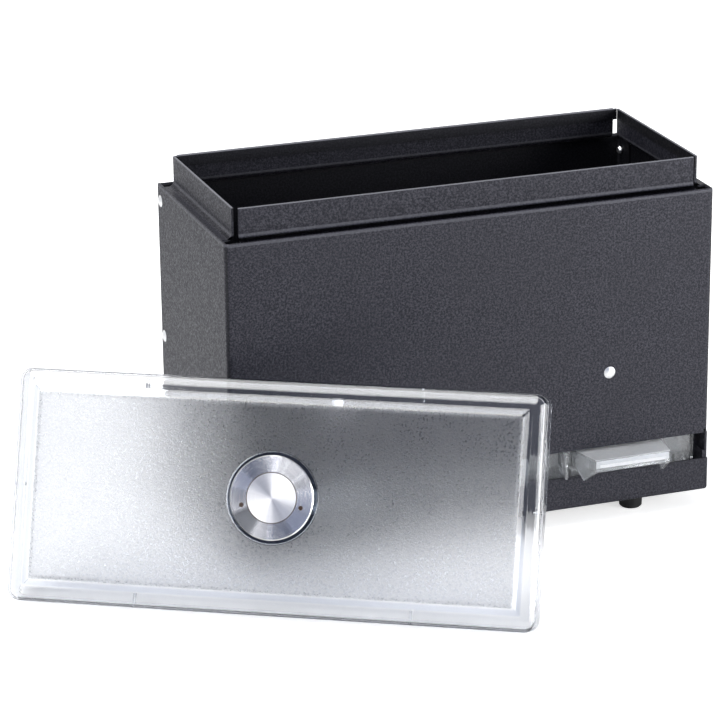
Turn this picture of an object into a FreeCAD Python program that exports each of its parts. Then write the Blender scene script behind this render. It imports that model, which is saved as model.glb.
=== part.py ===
import FreeCAD, Part
import math
import os

import Sketcher

# Straw dispenser: a folded sheet-steel box that stands on four rubber feet, with a joggled rim
# round its open top, a slot across the foot of its front and a clear lever that rocks in the
# slot on a steel rod. The clear lid is off and leans against the front left corner.
# Millimetres. X runs along the box, the front faces -Y, Z is up. The origin lies on the
# counter, under the middle of the box.

SIZES = (
    # Folded sheet-steel housing
    ("body_width", 267.0, "length of the box along X"),
    ("body_depth", 117.0, "depth of the box along Y"),
    ("wall_height", 168.0, "from the lower edge of the sheet up to the shoulder"),
    ("sheet", 1.2, "thickness of the steel"),
    ("bend_radius", 1.5, "inside radius of the upright corner bends"),
    ("seam_gap", 0.1, "gap between two sheets that are riveted together"),
    ("fold_round", 0.9, "outside rounding of the level folds"),
    ("rim_inset", 6.3, "step from the wall in to the rim"),
    ("rim_height", 16.2, "height of the rim over the shoulder"),
    ("rim_foot_radius", 3.0, "outside radius where the rim rises from the shoulder"),
    ("rim_end_gap", 3.0, "open corner at the end of a long rim"),
    ("rim_side_gap", 2.4, "open corner at the end of a short rim"),
    ("rim_edge_round", 0.3, "rounding of the rim's upper edge"),
    ("slot_bottom", 17.9, "lower edge of the slot over the sheet's lower edge"),
    ("slot_height", 14.7, "height of the slot"),
    ("relief_width", 1.5, "width of the bend relief over each end of the slot"),
    ("relief_height", 2.0, "height of the bend relief"),
    ("back_flange", 14.0, "depth of the back panel's side flanges"),
    ("flange_clearance", 1.2, "free edge of a flange to the sheet beside it"),
    ("pan_side_height", 22.0, "height of the base pan's side flanges"),
    ("pan_side_gap", 5.8, "base pan's side flanges to the back panel's flanges"),
    ("pan_edge_round", 2.0, "rounding of the base pan's lower edges and corners"),
    # Sheets inside the hopper
    ("ramp_side_gap", 1.0, "ramp to the flanges at its ends"),
    ("ramp_rear_height", 66.0, "height of the ramp at the back"),
    ("ramp_rear_flange", 16.0, "flange that is riveted to the back panel"),
    ("ramp_front_height", 19.0, "height of the ramp's front edge"),
    ("ramp_front_setback", 31.5, "front panel's face to the ramp's front edge"),
    ("ramp_foot_length", 13.0, "flange that stands on the base pan"),
    ("baffle_flange", 16.0, "flange of the baffle on the front panel"),
    ("baffle_edge", 8.2, "upper edge of the baffle over its rivets"),
    ("baffle_drop", 20.0, "height of the baffle's sloping part"),
    ("baffle_reach", 13.0, "how far the baffle slopes in"),
    ("baffle_side_gap", 4.0, "baffle to the side walls"),
    # Pivot of the lever
    ("pivot_setback", 9.5, "front face to the pivot"),
    ("pivot_height", 10.0, "pivot over the sheet's lower edge"),
    ("rod_diameter", 4.0, "steel pivot rod"),
    ("rod_end_gap", 0.3, "rod to the side wall"),
    ("rod_chamfer", 0.3, "chamfer at the rod's ends"),
    ("running_gap", 0.05, "radial clearance of the rod in its bushes and in the lever"),
    ("bush_diameter", 6.0, "body of the nylon bush"),
    ("bush_fit_gap", 0.02, "radial gap of the bush in its hole"),
    ("bush_flange_diameter", 7.2, "flange of the nylon bush"),
    ("bush_flange_length", 2.0, "thickness of the bush's flange"),
    ("lever_end_gap", 0.4, "end play of the lever between the bushes"),
    # Clear lever, heights and reaches from the pivot or from the sheets that it clears
    ("barrel_diameter", 7.0, "barrel round the rod"),
    ("lever_wall", 1.8, "wall of the lever"),
    ("strip_front", 2.0, "strip's face in front of the pivot"),
    ("strip_lap_above", 0.4, "strip's upper edge over the slot"),
    ("strip_lap_below", 3.9, "strip's lower edge under the slot, past the pads"),
    ("strip_corner", 2.4, "rounding of the strip's lower corners"),
    ("pad_inset", 23.6, "outer end of a press pad's face from the lever's end"),
    ("pad_face_length", 43.0, "length of a press pad's face"),
    ("pad_inner_flare", 5.2, "how much the pad widens to the strip at its inner end"),
    ("pad_outer_flare", 2.0, "the same at its outer end"),
    ("pad_reach", 21.5, "press pad in front of the strip"),
    ("pad_clearance", 1.4, "pad's top to the front panel's lower edge"),
    ("pad_face_height", 6.9, "height of the pad's front face"),
    ("pad_round", 0.8, "rounding of the pad's edges"),
    ("fin_thickness", 1.6, "fins at the ends of a pad"),
    ("fin_reach", 4.0, "fin's point in front of the lower front wall"),
    ("fin_drop", 1.3, "fin's point below the wall's upper edge"),
    ("fin_step", 2.3, "fin's bend behind the wall's front face"),
    ("fin_rise", 3.6, "fin's lower edge over the wall's upper edge"),
    ("side_wall_reach", 12.2, "short side wall behind the pad's face"),
    ("tooth_thickness", 1.4, "small teeth beside the pads"),
    ("tooth_inset", 10.6, "tooth to the pad's inner end"),
    ("tooth_reach", 2.5, "tooth's face in front of the lower front wall"),
    ("tooth_step", 1.5, "tooth's bend behind the wall's front face"),
    ("tooth_rise", 2.9, "tooth's bend over the wall's upper edge"),
    ("tooth_root", 5.2, "tooth's lower edge over the wall's upper edge at its root"),
    ("tooth_clearance", 0.8, "tooth's top to the front panel's lower edge"),
    ("tail_reach", 14.0, "tray behind the pivot"),
    ("tail_rise", 3.0, "tray's rise to its bend"),
    ("tail_lip_run", 2.4, "slope of the tray's lip"),
    ("tail_lip_height", 7.0, "height of the tray's lip"),
    ("gusset_height", 9.0, "gussets behind the strip"),
    ("gusset_thickness", 1.5, "thickness of a gusset"),
    ("end_rib_step", 10.5, "spacing of the two ribs at an end of the lever"),
    ("window_half", 13.0, "half length of the gap for the spring"),
    # Return spring and stops
    ("spring_wire", 1.2, "wall of the closed coil of the return spring"),
    ("spring_leg", 1.0, "wire of its two legs"),
    ("spring_bore_gap", 0.5, "radial gap of the coil on the rod"),
    ("spring_half", 10.0, "half length of the coil"),
    ("spring_window_gap", 0.4, "radial gap of the coil in the lever"),
    ("spring_leg_rest", 0.8, "end of the lower leg to the floor, for the lever's travel"),
    ("spring_leg_length", 3.6, "leg over the tray"),
    ("stop_diameter", 9.0, "rubber stop under the lever's tray"),
    ("stop_inset", 88.5, "stops from the side walls"),
    ("stop_back", 9.5, "stop behind the pivot"),
    ("stop_gap", 0.3, "stop to the tray"),
    # Feet and their screws
    ("foot_height", 10.4, "height of the rubber feet"),
    ("foot_diameter", 13.0, "rubber foot"),
    ("foot_taper", 0.4, "how much narrower the radius is at the counter"),
    ("foot_edge", 0.8, "chamfer round the foot's sole"),
    ("foot_inset_x", 36.9, "foot's middle from the side of the box"),
    ("foot_inset_y", 17.0, "foot's middle from the front or the back"),
    ("screw_diameter", 4.0, "foot screw"),
    ("screw_gap", 0.25, "radial gap round the screw"),
    ("screw_head_diameter", 7.0, "head of the foot screw"),
    ("screw_head_height", 2.4, "height of that head"),
    ("screw_recess", 5.0, "depth of the foot's recess"),
    ("recess_gap", 0.5, "radial gap round the head"),
    ("screw_end", 1.2, "screw past its nut"),
    ("nut_width", 7.0, "hexagon nut across its flats"),
    ("nut_height", 3.2, "height of the nut"),
    # Rivets
    ("rivet_diameter", 3.2, "rivet shank"),
    ("rivet_hole_gap", 0.1, "radial gap of a rivet in its hole"),
    ("rivet_head_diameter", 6.4, "rivet head"),
    ("rivet_head_height", 1.1, "height of the domed head"),
    ("rivet_tail_diameter", 4.6, "set end of the rivet"),
    ("rivet_tail_length", 2.2, "length of the set end"),
    ("front_rivet_inset", 57.9, "rivets in the front panel from the sides"),
    ("front_rivet_height", 73.8, "their height over the sheet's lower edge"),
    ("side_rivet_inset", 4.5, "side rivets from the back face"),
    ("side_rivet_low", 9.3, "lowest side rivet"),
    ("side_rivet_drop", 8.7, "highest side rivet under the shoulder"),
    ("pan_rivet_setback", 5.0, "pan's side rivet in front of the ramp"),
    ("back_rivet_inset", 48.5, "rivets of the ramp in the back panel, from the sides"),
    ("floor_rivet_inset", 58.5, "rivets of the ramp in the base pan, from the sides"),
    # Clear lid
    ("lid_skirt", 16.0, "height of the lid's upright skirt"),
    ("lid_rise", 6.0, "rise from the skirt to the flat panel"),
    ("lid_border", 11.2, "width of the sloping border"),
    ("lid_wall", 2.2, "thickness of the lid"),
    ("lid_corner", 5.0, "outside radius of the lid's corners"),
    ("panel_corner", 1.0, "corner radius of the raised panel"),
    ("lid_edge_round", 2.0, "rounding between the skirt and the border"),
    ("nib_width", 1.4, "locating rib inside the skirt"),
    ("nib_reach", 3.7, "how far a locating rib stands in"),
    ("nib_height", 13.0, "height of a locating rib"),
    ("nib_inset", 63.5, "ribs on a long side from the lid's ends"),
    ("seat_diameter", 46.2, "round seat for the medallion"),
    ("seat_depth", 1.0, "depth of that seat"),
    ("medallion_diameter", 42.2, "metal medallion"),
    ("medallion_thickness", 2.0, "its thickness"),
    ("medallion_edge", 0.5, "chamfer round its face"),
    ("tape_thickness", 0.4, "adhesive disc under the medallion"),
    ("tape_inset", 1.6, "medallion's edge to the adhesive disc"),
    ("lid_gap", 0.3, "lid to the corner that it leans on"),
    ("lid_shift", 29.2, "middle of the lid past that corner, along the lid"),
)

# Angles of the leaning lid, in degrees.
LID_TURN = -30.0
LID_LEAN = 22.6

# Bodies and features

doc = FreeCAD.newDocument("StrawDispenser")
sheet = doc.addObject("Spreadsheet::Sheet", "Sizes")
for row, (alias, value, remark) in enumerate(SIZES, start=1):
    sheet.set("A%d" % row, remark)
    sheet.set("B%d" % row, str(value))
    sheet.setAlias("B%d" % row, alias)
doc.recompute()


class Size:
    """A length that keeps its formula over the sheet's cells beside its value."""

    def __init__(self, value, formula):
        self.value = value
        self.formula = formula

    def __add__(self, other):
        return Size(self.value + plain(other), "(%s + %s)" % (self.formula, text(other)))

    def __radd__(self, other):
        return Size(plain(other) + self.value, "(%s + %s)" % (text(other), self.formula))

    def __sub__(self, other):
        return Size(self.value - plain(other), "(%s - %s)" % (self.formula, text(other)))

    def __rsub__(self, other):
        return Size(plain(other) - self.value, "(%s - %s)" % (text(other), self.formula))

    def __mul__(self, other):
        return Size(self.value * plain(other), "(%s * %s)" % (self.formula, text(other)))

    def __rmul__(self, other):
        return Size(plain(other) * self.value, "(%s * %s)" % (text(other), self.formula))

    def __truediv__(self, other):
        return Size(self.value / plain(other), "(%s / %s)" % (self.formula, text(other)))

    def __neg__(self):
        return Size(-self.value, "(0 - %s)" % self.formula)


def plain(length):
    return length.value if isinstance(length, Size) else float(length)


def text(length):
    return length.formula if isinstance(length, Size) else repr(float(length))


def cell(alias):
    return Size(float(sheet.get(alias)), "Sizes.%s" % alias)


def bind(thing, prop, length):
    """Set a property to a length and tie it to the sheet where the length has a formula."""
    if isinstance(length, Size):
        thing.setExpression(prop, length.formula)
    else:
        setattr(thing, prop, length)


NODES = []


def new_body(label):
    body = doc.addObject("PartDesign::Body", label)
    body.Label = label
    body.AllowCompound = True
    NODES.append(body)
    return body


def new_feature(label, shape):
    thing = doc.addObject("Part::Feature", label)
    thing.Label = label
    thing.Shape = shape
    NODES.append(thing)
    return thing


def new_sketch(body, name, plane, offset=0):
    """A sketch on one of the body's own origin planes, moved along the plane's normal."""
    sketch = body.newObject("Sketcher::SketchObject", name)
    support = [part for part in body.Origin.OriginFeatures if part.Role == plane][0]
    sketch.AttachmentSupport = [(support, "")]
    sketch.MapMode = "FlatFace"
    if isinstance(offset, Size):
        sketch.setExpression(".AttachmentOffset.Base.z", offset.formula)
    return sketch


def fix_coordinate(sketch, kind, axis, geometry, end, length):
    """Hold one coordinate of a point at a length from the sketch's origin."""
    if plain(length) == 0:
        sketch.addConstraint(Sketcher.Constraint("PointOnObject", geometry, end, axis))
        return
    index = sketch.addConstraint(Sketcher.Constraint(kind, -1, 1, geometry, end, plain(length)))
    if isinstance(length, Size):
        sketch.setExpression("Constraints[%d]" % index, length.formula)


def fix_point(sketch, geometry, end, across, up):
    fix_coordinate(sketch, "DistanceX", -2, geometry, end, across)
    fix_coordinate(sketch, "DistanceY", -1, geometry, end, up)


def flat(across, up):
    return FreeCAD.Vector(plain(across), plain(up), 0)


def outline(sketch, points):
    """A closed outline of straight lines, each corner held by its two coordinates."""
    first = sketch.GeometryCount
    count = len(points)
    for start, end in zip(points, points[1:] + points[:1]):
        sketch.addGeometry(Part.LineSegment(flat(*start), flat(*end)), False)
    for place in range(count):
        after = first + (place + 1) % count
        sketch.addConstraint(Sketcher.Constraint("Coincident", first + place, 2, after, 1))
    for place, point in enumerate(points):
        fix_point(sketch, first + place, 1, *point)


def rectangle(sketch, left, bottom, right, top):
    outline(sketch, [(left, bottom), (right, bottom), (right, top), (left, top)])


def circle(sketch, across, up, radius):
    index = sketch.addGeometry(
        Part.Circle(flat(across, up), FreeCAD.Vector(0, 0, 1), plain(radius)), False)
    fix_point(sketch, index, 3, across, up)
    bound = sketch.addConstraint(Sketcher.Constraint("Radius", index, plain(radius)))
    if isinstance(radius, Size):
        sketch.setExpression("Constraints[%d]" % bound, radius.formula)


def rounded_rectangle(sketch, half_width, half_depth, radius):
    """A rectangle about the origin whose corners are quarter circles."""
    wide, deep, bend = plain(half_width), plain(half_depth), plain(radius)
    corners = ((1, 1), (-1, 1), (-1, -1), (1, -1))
    normal = FreeCAD.Vector(0, 0, 1)
    arcs = []
    for turn, (side, face) in enumerate(corners):
        centre = FreeCAD.Vector(side * (wide - bend), face * (deep - bend), 0)
        start = turn * math.pi / 2
        round_arc = Part.ArcOfCircle(Part.Circle(centre, normal, bend), start, start + math.pi / 2)
        arcs.append(sketch.addGeometry(round_arc, False))
    for turn, here in enumerate(arcs):
        after = arcs[(turn + 1) % 4]
        start = sketch.Geometry[here].EndPoint
        end = sketch.Geometry[after].StartPoint
        line = sketch.addGeometry(Part.LineSegment(start, end), False)
        sketch.addConstraint(Sketcher.Constraint("Tangent", here, 2, line, 1))
        sketch.addConstraint(Sketcher.Constraint("Tangent", line, 2, after, 1))
    for here, (side, face) in zip(arcs, corners):
        fix_point(sketch, here, 3, side * (half_width - radius), face * (half_depth - radius))
    for here in arcs[1:]:
        sketch.addConstraint(Sketcher.Constraint("Equal", arcs[0], here))
    bound = sketch.addConstraint(Sketcher.Constraint("Radius", arcs[0], bend))
    sketch.setExpression("Constraints[%d]" % bound, radius.formula)


def corner_cut(sketch, across, up, radius):
    """What is left between a corner of two edges, its lowest point, and the arc that rounds it."""
    corner = flat(across, up)
    bend = plain(radius)
    side_end = corner + FreeCAD.Vector(0, bend, 0)
    low_end = corner + FreeCAD.Vector(bend, 0, 0)
    centre = corner + FreeCAD.Vector(bend, bend, 0)
    low = sketch.addGeometry(Part.LineSegment(corner, low_end), False)
    circle_line = Part.Circle(centre, FreeCAD.Vector(0, 0, 1), bend)
    arc = sketch.addGeometry(Part.ArcOfCircle(circle_line, math.pi, 3 * math.pi / 2), False)
    upright = sketch.addGeometry(Part.LineSegment(side_end, corner), False)
    sketch.addConstraint(Sketcher.Constraint("Tangent", low, 2, arc, 2))
    sketch.addConstraint(Sketcher.Constraint("Tangent", arc, 1, upright, 1))
    sketch.addConstraint(Sketcher.Constraint("Coincident", upright, 2, low, 1))
    sketch.addConstraint(Sketcher.Constraint("Horizontal", low))
    fix_point(sketch, low, 1, across, up)
    fix_point(sketch, arc, 3, across + radius, up + radius)


def extrude(body, sketch, length, kind="PartDesign::Pad", symmetric=False, backwards=False):
    """A pad or a pocket of a sketch; a symmetric one has its length on both sides together."""
    feature = body.newObject(kind, sketch.Name + "_run")
    feature.Profile = sketch
    if symmetric:
        feature.SideType = "Symmetric"
    feature.Reversed = backwards
    bind(feature, "Length", length)
    sketch.Visibility = False
    return feature


def pad(body, sketch, length, **ways):
    return extrude(body, sketch, length, **ways)


def pocket(body, sketch, length, **ways):
    """Cut a sketch out of the body and make sure that something was cut."""
    doc.recompute()
    before = body.Shape.Volume
    feature = extrude(body, sketch, length, kind="PartDesign::Pocket", **ways)
    doc.recompute()
    if not body.Shape.Volume < before:
        raise ValueError("%s cuts nothing" % sketch.Name)
    return feature


def spin(body, sketch):
    """Turn a sketch about its upright axis."""
    feature = body.newObject("PartDesign::Revolution", sketch.Name + "_turn")
    feature.Profile = sketch
    feature.ReferenceAxis = (sketch, ["V_Axis"])
    feature.Angle = 360
    return feature


def round_edges(body, name, radius, chosen, kind="PartDesign::Fillet"):
    """Round or chamfer the edges of the body for which chosen says yes."""
    doc.recompute()
    tip = body.Tip
    names = ["Edge%d" % (place + 1) for place, edge in enumerate(tip.Shape.Edges) if chosen(edge)]
    if not names:
        raise ValueError("%s finds no edge" % name)
    feature = body.newObject(kind, name)
    feature.Base = (tip, names)
    bind(feature, "Radius" if kind == "PartDesign::Fillet" else "Size", radius)
    doc.recompute()
    return feature


def near(first, second):
    """Two places that are the same to a small part of the sheet's thickness."""
    return abs(plain(first) - plain(second)) < plain(sheet_metal) / 50


def runs_along(edge, axis):
    """A straight edge that runs along X, Y or Z."""
    if edge.Curve.TypeId != "Part::GeomLine":
        return False
    box = edge.BoundBox
    spans = (box.XLength, box.YLength, box.ZLength)
    return all(near(span, 0) for place, span in enumerate(spans) if place != axis)


def middle(edge):
    return edge.BoundBox.Center


# Places that several pieces share

sheet_metal = cell("sheet")
seam = cell("seam_gap")
side_face = cell("body_width") / 2
back_face = cell("body_depth") / 2
front_face = -back_face
floor_level = cell("foot_height")
floor_top = floor_level + sheet_metal
shoulder = floor_level + cell("wall_height")
rim_top = shoulder + cell("rim_height")
slot_low = floor_level + cell("slot_bottom")
slot_top = slot_low + cell("slot_height")
side_inside = side_face - sheet_metal
front_inside = front_face + sheet_metal
back_inside = back_face - sheet_metal
flange_outside = side_inside - seam
flange_inside = flange_outside - sheet_metal
outer_bend = cell("bend_radius") + sheet_metal
long_rim = 2 * (side_face - cell("rim_inset") - cell("rim_end_gap"))
short_rim = 2 * (back_face - cell("rim_inset") - cell("rim_side_gap"))
pivot_y = front_face + cell("pivot_setback")
pivot_z = floor_level + cell("pivot_height")
rivet_hole = cell("rivet_diameter") / 2 + cell("rivet_hole_gap")
rivet_y = back_face - cell("side_rivet_inset")
rivet_low = floor_level + cell("side_rivet_low")
rivet_high = shoulder - cell("side_rivet_drop")
side_rivet_heights = [rivet_low, (rivet_low + rivet_high) / 2, rivet_high]
front_rivet_x = side_face - cell("front_rivet_inset")
front_rivet_z = floor_level + cell("front_rivet_height")
back_rivet_x = side_face - cell("back_rivet_inset")
ramp_rear_z = floor_level + cell("ramp_rear_height")
back_rivet_z = ramp_rear_z + cell("ramp_rear_flange") / 2
floor_rivet_x = side_face - cell("floor_rivet_inset")
ramp_front_y = front_face + cell("ramp_front_setback")
pan_rivet_y = ramp_front_y - cell("pan_rivet_setback")
pan_rivet_z = rivet_low
floor_rivet_y = ramp_front_y + cell("ramp_foot_length") / 2 + sheet_metal / 2
foot_x = side_face - cell("foot_inset_x")
foot_y = back_face - cell("foot_inset_y")
screw_hole = cell("screw_diameter") / 2 + cell("screw_gap")
SIDES = (("left", -1), ("right", 1))
FEET = (("front_left", -1, -1), ("front_right", 1, -1),
        ("back_left", -1, 1), ("back_right", 1, 1))


def rim_section(face, inward):
    """Section of a wall's shoulder and rim: from the wall's face in, then up."""
    rim_face = face + inward * cell("rim_inset")
    rim_back = rim_face + inward * sheet_metal
    return [(face, shoulder - sheet_metal), (face, shoulder), (rim_face, shoulder),
            (rim_face, rim_top), (rim_back, rim_top), (rim_back, shoulder - sheet_metal)]


def round_rim(body, axis, across, rims):
    """Round the foot of a joggled rim, outside and inside."""
    inset = plain(cell("rim_inset"))
    foot_radius = cell("rim_foot_radius")

    def on(edge, distance, height):
        return any(near(across(middle(edge)), side * (plain(face) - distance))
                   for face, side in rims) and near(middle(edge).z, height)

    round_edges(body, body.Name + "_rim_foot", foot_radius,
                lambda edge: runs_along(edge, axis) and on(edge, inset, shoulder))
    round_edges(body, body.Name + "_rim_foot_inside", foot_radius + sheet_metal,
                lambda edge: runs_along(edge, axis)
                and on(edge, inset + plain(sheet_metal), shoulder - sheet_metal))


# Housing: front and both sides folded from one sheet

wrap = new_body("body_wrap")
walls = new_sketch(wrap, "wrap_plan", "XY_Plane", slot_top)
outline(walls, [(-side_face, back_face), (-side_face, front_face), (side_face, front_face),
                (side_face, back_face), (side_inside, back_face), (side_inside, front_inside),
                (-side_inside, front_inside), (-side_inside, back_face)])
pad(wrap, walls, shoulder - slot_top)
round_edges(wrap, "wrap_bend_outside", outer_bend,
            lambda edge: runs_along(edge, 2) and near(abs(middle(edge).x), side_face)
            and near(middle(edge).y, front_face))
round_edges(wrap, "wrap_bend_inside", cell("bend_radius"),
            lambda edge: runs_along(edge, 2) and near(abs(middle(edge).x), side_inside)
            and near(middle(edge).y, front_inside))
for name, side in SIDES:
    skirt = new_sketch(wrap, "wrap_%s_skirt" % name, "XY_Plane", floor_level)
    outline(skirt, [(side * side_inside, front_inside + seam), (side * side_face, front_inside + seam),
                    (side * side_face, back_face), (side * side_inside, back_face)])
    pad(wrap, skirt, slot_top - floor_level)
front_rim = new_sketch(wrap, "wrap_front_rim", "YZ_Plane")
outline(front_rim, rim_section(front_face, 1))
pad(wrap, front_rim, long_rim, symmetric=True)
for name, side in SIDES:
    side_rim = new_sketch(wrap, "wrap_%s_rim" % name, "XZ_Plane")
    outline(side_rim, rim_section(side * side_face, -side))
    pad(wrap, side_rim, short_rim, symmetric=True)
round_rim(wrap, 0, lambda place: place.y, [(back_face, -1)])
round_rim(wrap, 1, lambda place: place.x, [(side_face, -1), (side_face, 1)])
round_edges(wrap, "wrap_shoulder", cell("fold_round"),
            lambda edge: near(middle(edge).z, shoulder)
            and ((runs_along(edge, 0) and near(middle(edge).y, front_face))
                 or (runs_along(edge, 1) and near(abs(middle(edge).x), side_face))))
round_edges(wrap, "wrap_rim_edge", cell("rim_edge_round"),
            lambda edge: near(middle(edge).z, rim_top)
            and (runs_along(edge, 0) and edge.Length > plain(long_rim) / 2
                 or runs_along(edge, 1) and edge.Length > plain(short_rim) / 2))
relief = new_sketch(wrap, "wrap_bend_relief", "XZ_Plane", -front_face)
for name, side in SIDES:
    rectangle(relief, side * (side_face - outer_bend), slot_top,
              side * (side_face - outer_bend + cell("relief_width")),
              slot_top + cell("relief_height"))
pocket(wrap, relief, outer_bend, backwards=False)
front_holes = new_sketch(wrap, "wrap_front_rivet_holes", "XZ_Plane", -front_face)
for name, side in SIDES:
    circle(front_holes, side * front_rivet_x, front_rivet_z, rivet_hole)
pocket(wrap, front_holes, 2 * sheet_metal)
for name, side in SIDES:
    side_holes = new_sketch(wrap, "wrap_%s_rivet_holes" % name, "YZ_Plane", side * side_face)
    for height in side_rivet_heights:
        circle(side_holes, rivet_y, height, rivet_hole)
    circle(side_holes, pan_rivet_y, pan_rivet_z, rivet_hole)
    pocket(wrap, side_holes, 2 * sheet_metal, backwards=side < 0)

# Back panel: fits between the sides and is riveted to them through its flanges

back = new_body("back_panel")
back_plan = new_sketch(back, "back_plan", "XY_Plane", floor_top + seam)
flange_end = back_face - cell("back_flange")
outline(back_plan, [(-flange_outside, back_face), (-flange_outside, flange_end),
                    (-flange_inside, flange_end), (-flange_inside, back_inside),
                    (flange_inside, back_inside), (flange_inside, flange_end),
                    (flange_outside, flange_end), (flange_outside, back_face)])
pad(back, back_plan, shoulder - sheet_metal - cell("flange_clearance") - floor_top - seam)
back_top = new_sketch(back, "back_upper_wall", "XY_Plane",
                      shoulder - sheet_metal - cell("flange_clearance"))
rectangle(back_top, -flange_outside, back_inside, flange_outside, back_face)
pad(back, back_top, sheet_metal + cell("flange_clearance"))
back_rim = new_sketch(back, "back_rim", "YZ_Plane")
outline(back_rim, rim_section(back_face, -1))
pad(back, back_rim, long_rim, symmetric=True)
round_rim(back, 0, lambda place: place.y, [(back_face, 1)])
round_edges(back, "back_bend_inside", cell("bend_radius"),
            lambda edge: runs_along(edge, 2) and near(abs(middle(edge).x), flange_inside)
            and near(middle(edge).y, back_inside))
round_edges(back, "back_shoulder", cell("fold_round"),
            lambda edge: near(middle(edge).z, shoulder) and runs_along(edge, 0)
            and near(middle(edge).y, back_face))
round_edges(back, "back_rim_edge", cell("rim_edge_round"),
            lambda edge: near(middle(edge).z, rim_top) and runs_along(edge, 0)
            and edge.Length > plain(long_rim) / 2)
for name, side in SIDES:
    back_holes = new_sketch(back, "back_%s_rivet_holes" % name, "YZ_Plane", side * flange_outside)
    for height in side_rivet_heights:
        circle(back_holes, rivet_y, height, rivet_hole)
    pocket(back, back_holes, 2 * sheet_metal, backwards=side < 0)
ramp_holes = new_sketch(back, "back_ramp_rivet_holes", "XZ_Plane", -back_face)
for name, side in SIDES:
    circle(ramp_holes, side * back_rivet_x, back_rivet_z, rivet_hole)
pocket(back, ramp_holes, 2 * sheet_metal, backwards=True)

# Base pan: floor, lower front wall and the side flanges that carry the pivot

pan = new_body("base_pan")
pan_front = new_sketch(pan, "pan_front_wall", "XZ_Plane", -front_face)
rectangle(pan_front, -side_face, floor_level, side_face, slot_low)
pad(pan, pan_front, sheet_metal, backwards=True)
round_edges(pan, "pan_corners", cell("pan_edge_round"),
            lambda edge: runs_along(edge, 1) and near(middle(edge).z, floor_level))
pan_floor = new_sketch(pan, "pan_floor", "XY_Plane", floor_level)
rectangle(pan_floor, -flange_outside, front_face + sheet_metal / 2, flange_outside, back_face)
pad(pan, pan_floor, sheet_metal)
pan_bend = new_sketch(pan, "pan_front_bend", "YZ_Plane")
corner_cut(pan_bend, front_face, floor_level, cell("fold_round"))
pocket(pan, pan_bend, 3 * side_face, symmetric=True)
for name, side in SIDES:
    pan_side = new_sketch(pan, "pan_%s_flange" % name, "XZ_Plane", -front_inside)
    rectangle(pan_side, side * flange_inside, floor_level, side * flange_outside,
              floor_level + cell("pan_side_height"))
    pad(pan, pan_side, flange_end - cell("pan_side_gap") - front_inside, backwards=True)
    pan_hole = new_sketch(pan, "pan_%s_holes" % name, "YZ_Plane", side * flange_outside)
    circle(pan_hole, pivot_y, pivot_z, cell("bush_diameter") / 2 + cell("bush_fit_gap"))
    circle(pan_hole, pan_rivet_y, pan_rivet_z, rivet_hole)
    pocket(pan, pan_hole, 2 * sheet_metal, backwards=side < 0)
pan_screw_holes = new_sketch(pan, "pan_screw_holes", "XY_Plane", floor_top)
for name, side, face in FEET:
    circle(pan_screw_holes, side * foot_x, face * foot_y, screw_hole)
for name, side in SIDES:
    circle(pan_screw_holes, side * floor_rivet_x, floor_rivet_y, rivet_hole)
pocket(pan, pan_screw_holes, 2 * sheet_metal)

# Hopper ramp: hangs on the back panel and stands on the base pan

ramp = new_body("hopper_ramp")
ramp_back = back_inside - seam
ramp_front_z = floor_level + cell("ramp_front_height")
ramp_foot_z = floor_top + seam
ramp_thick = sheet_metal
ramp_section = new_sketch(ramp, "ramp_section", "YZ_Plane")
outline(ramp_section, [
    (ramp_back, ramp_rear_z), (ramp_back, ramp_rear_z + cell("ramp_rear_flange")),
    (ramp_back - ramp_thick, ramp_rear_z + cell("ramp_rear_flange")),
    (ramp_back - ramp_thick, ramp_rear_z + ramp_thick / 2),
    (ramp_front_y, ramp_front_z), (ramp_front_y, ramp_foot_z),
    (ramp_front_y + cell("ramp_foot_length"), ramp_foot_z),
    (ramp_front_y + cell("ramp_foot_length"), ramp_foot_z + ramp_thick),
    (ramp_front_y + ramp_thick, ramp_foot_z + ramp_thick),
    (ramp_front_y + ramp_thick, ramp_front_z - ramp_thick / 2)])
ramp_length = 2 * (flange_inside - cell("ramp_side_gap"))
pad(ramp, ramp_section, ramp_length, symmetric=True)
round_edges(ramp, "ramp_nose", cell("bend_radius"),
            lambda edge: runs_along(edge, 0) and near(middle(edge).y, ramp_front_y)
            and near(middle(edge).z, ramp_front_z))
ramp_wall_holes = new_sketch(ramp, "ramp_wall_holes", "XZ_Plane", -ramp_back)
for name, side in SIDES:
    circle(ramp_wall_holes, side * back_rivet_x, back_rivet_z, rivet_hole)
pocket(ramp, ramp_wall_holes, 2 * sheet_metal, backwards=True)
ramp_floor_holes = new_sketch(ramp, "ramp_floor_holes", "XY_Plane", ramp_foot_z + ramp_thick)
for name, side in SIDES:
    circle(ramp_floor_holes, side * floor_rivet_x, floor_rivet_y, rivet_hole)
pocket(ramp, ramp_floor_holes, 2 * sheet_metal)

# Baffle: takes the weight of the straws off the lever and narrows the throat

baffle = new_body("throat_baffle")
baffle_front = front_inside + seam
baffle_top = front_rivet_z + cell("baffle_edge")
baffle_bend = baffle_top - cell("baffle_flange")
baffle_tip_z = baffle_bend - cell("baffle_drop")
baffle_section = new_sketch(baffle, "baffle_section", "YZ_Plane")
outline(baffle_section, [
    (baffle_front, baffle_top), (baffle_front, baffle_bend),
    (baffle_front + cell("baffle_reach"), baffle_tip_z),
    (baffle_front + cell("baffle_reach") + sheet_metal, baffle_tip_z),
    (baffle_front + sheet_metal, baffle_bend), (baffle_front + sheet_metal, baffle_top)])
baffle_length = 2 * (side_inside - cell("baffle_side_gap"))
pad(baffle, baffle_section, baffle_length, symmetric=True)
baffle_holes = new_sketch(baffle, "baffle_holes", "XZ_Plane", -baffle_front)
for name, side in SIDES:
    circle(baffle_holes, side * front_rivet_x, front_rivet_z, rivet_hole)
pocket(baffle, baffle_holes, 2 * sheet_metal)

# Pivot: nylon bushes in the pan's flanges and a steel rod that turns with the lever

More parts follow.
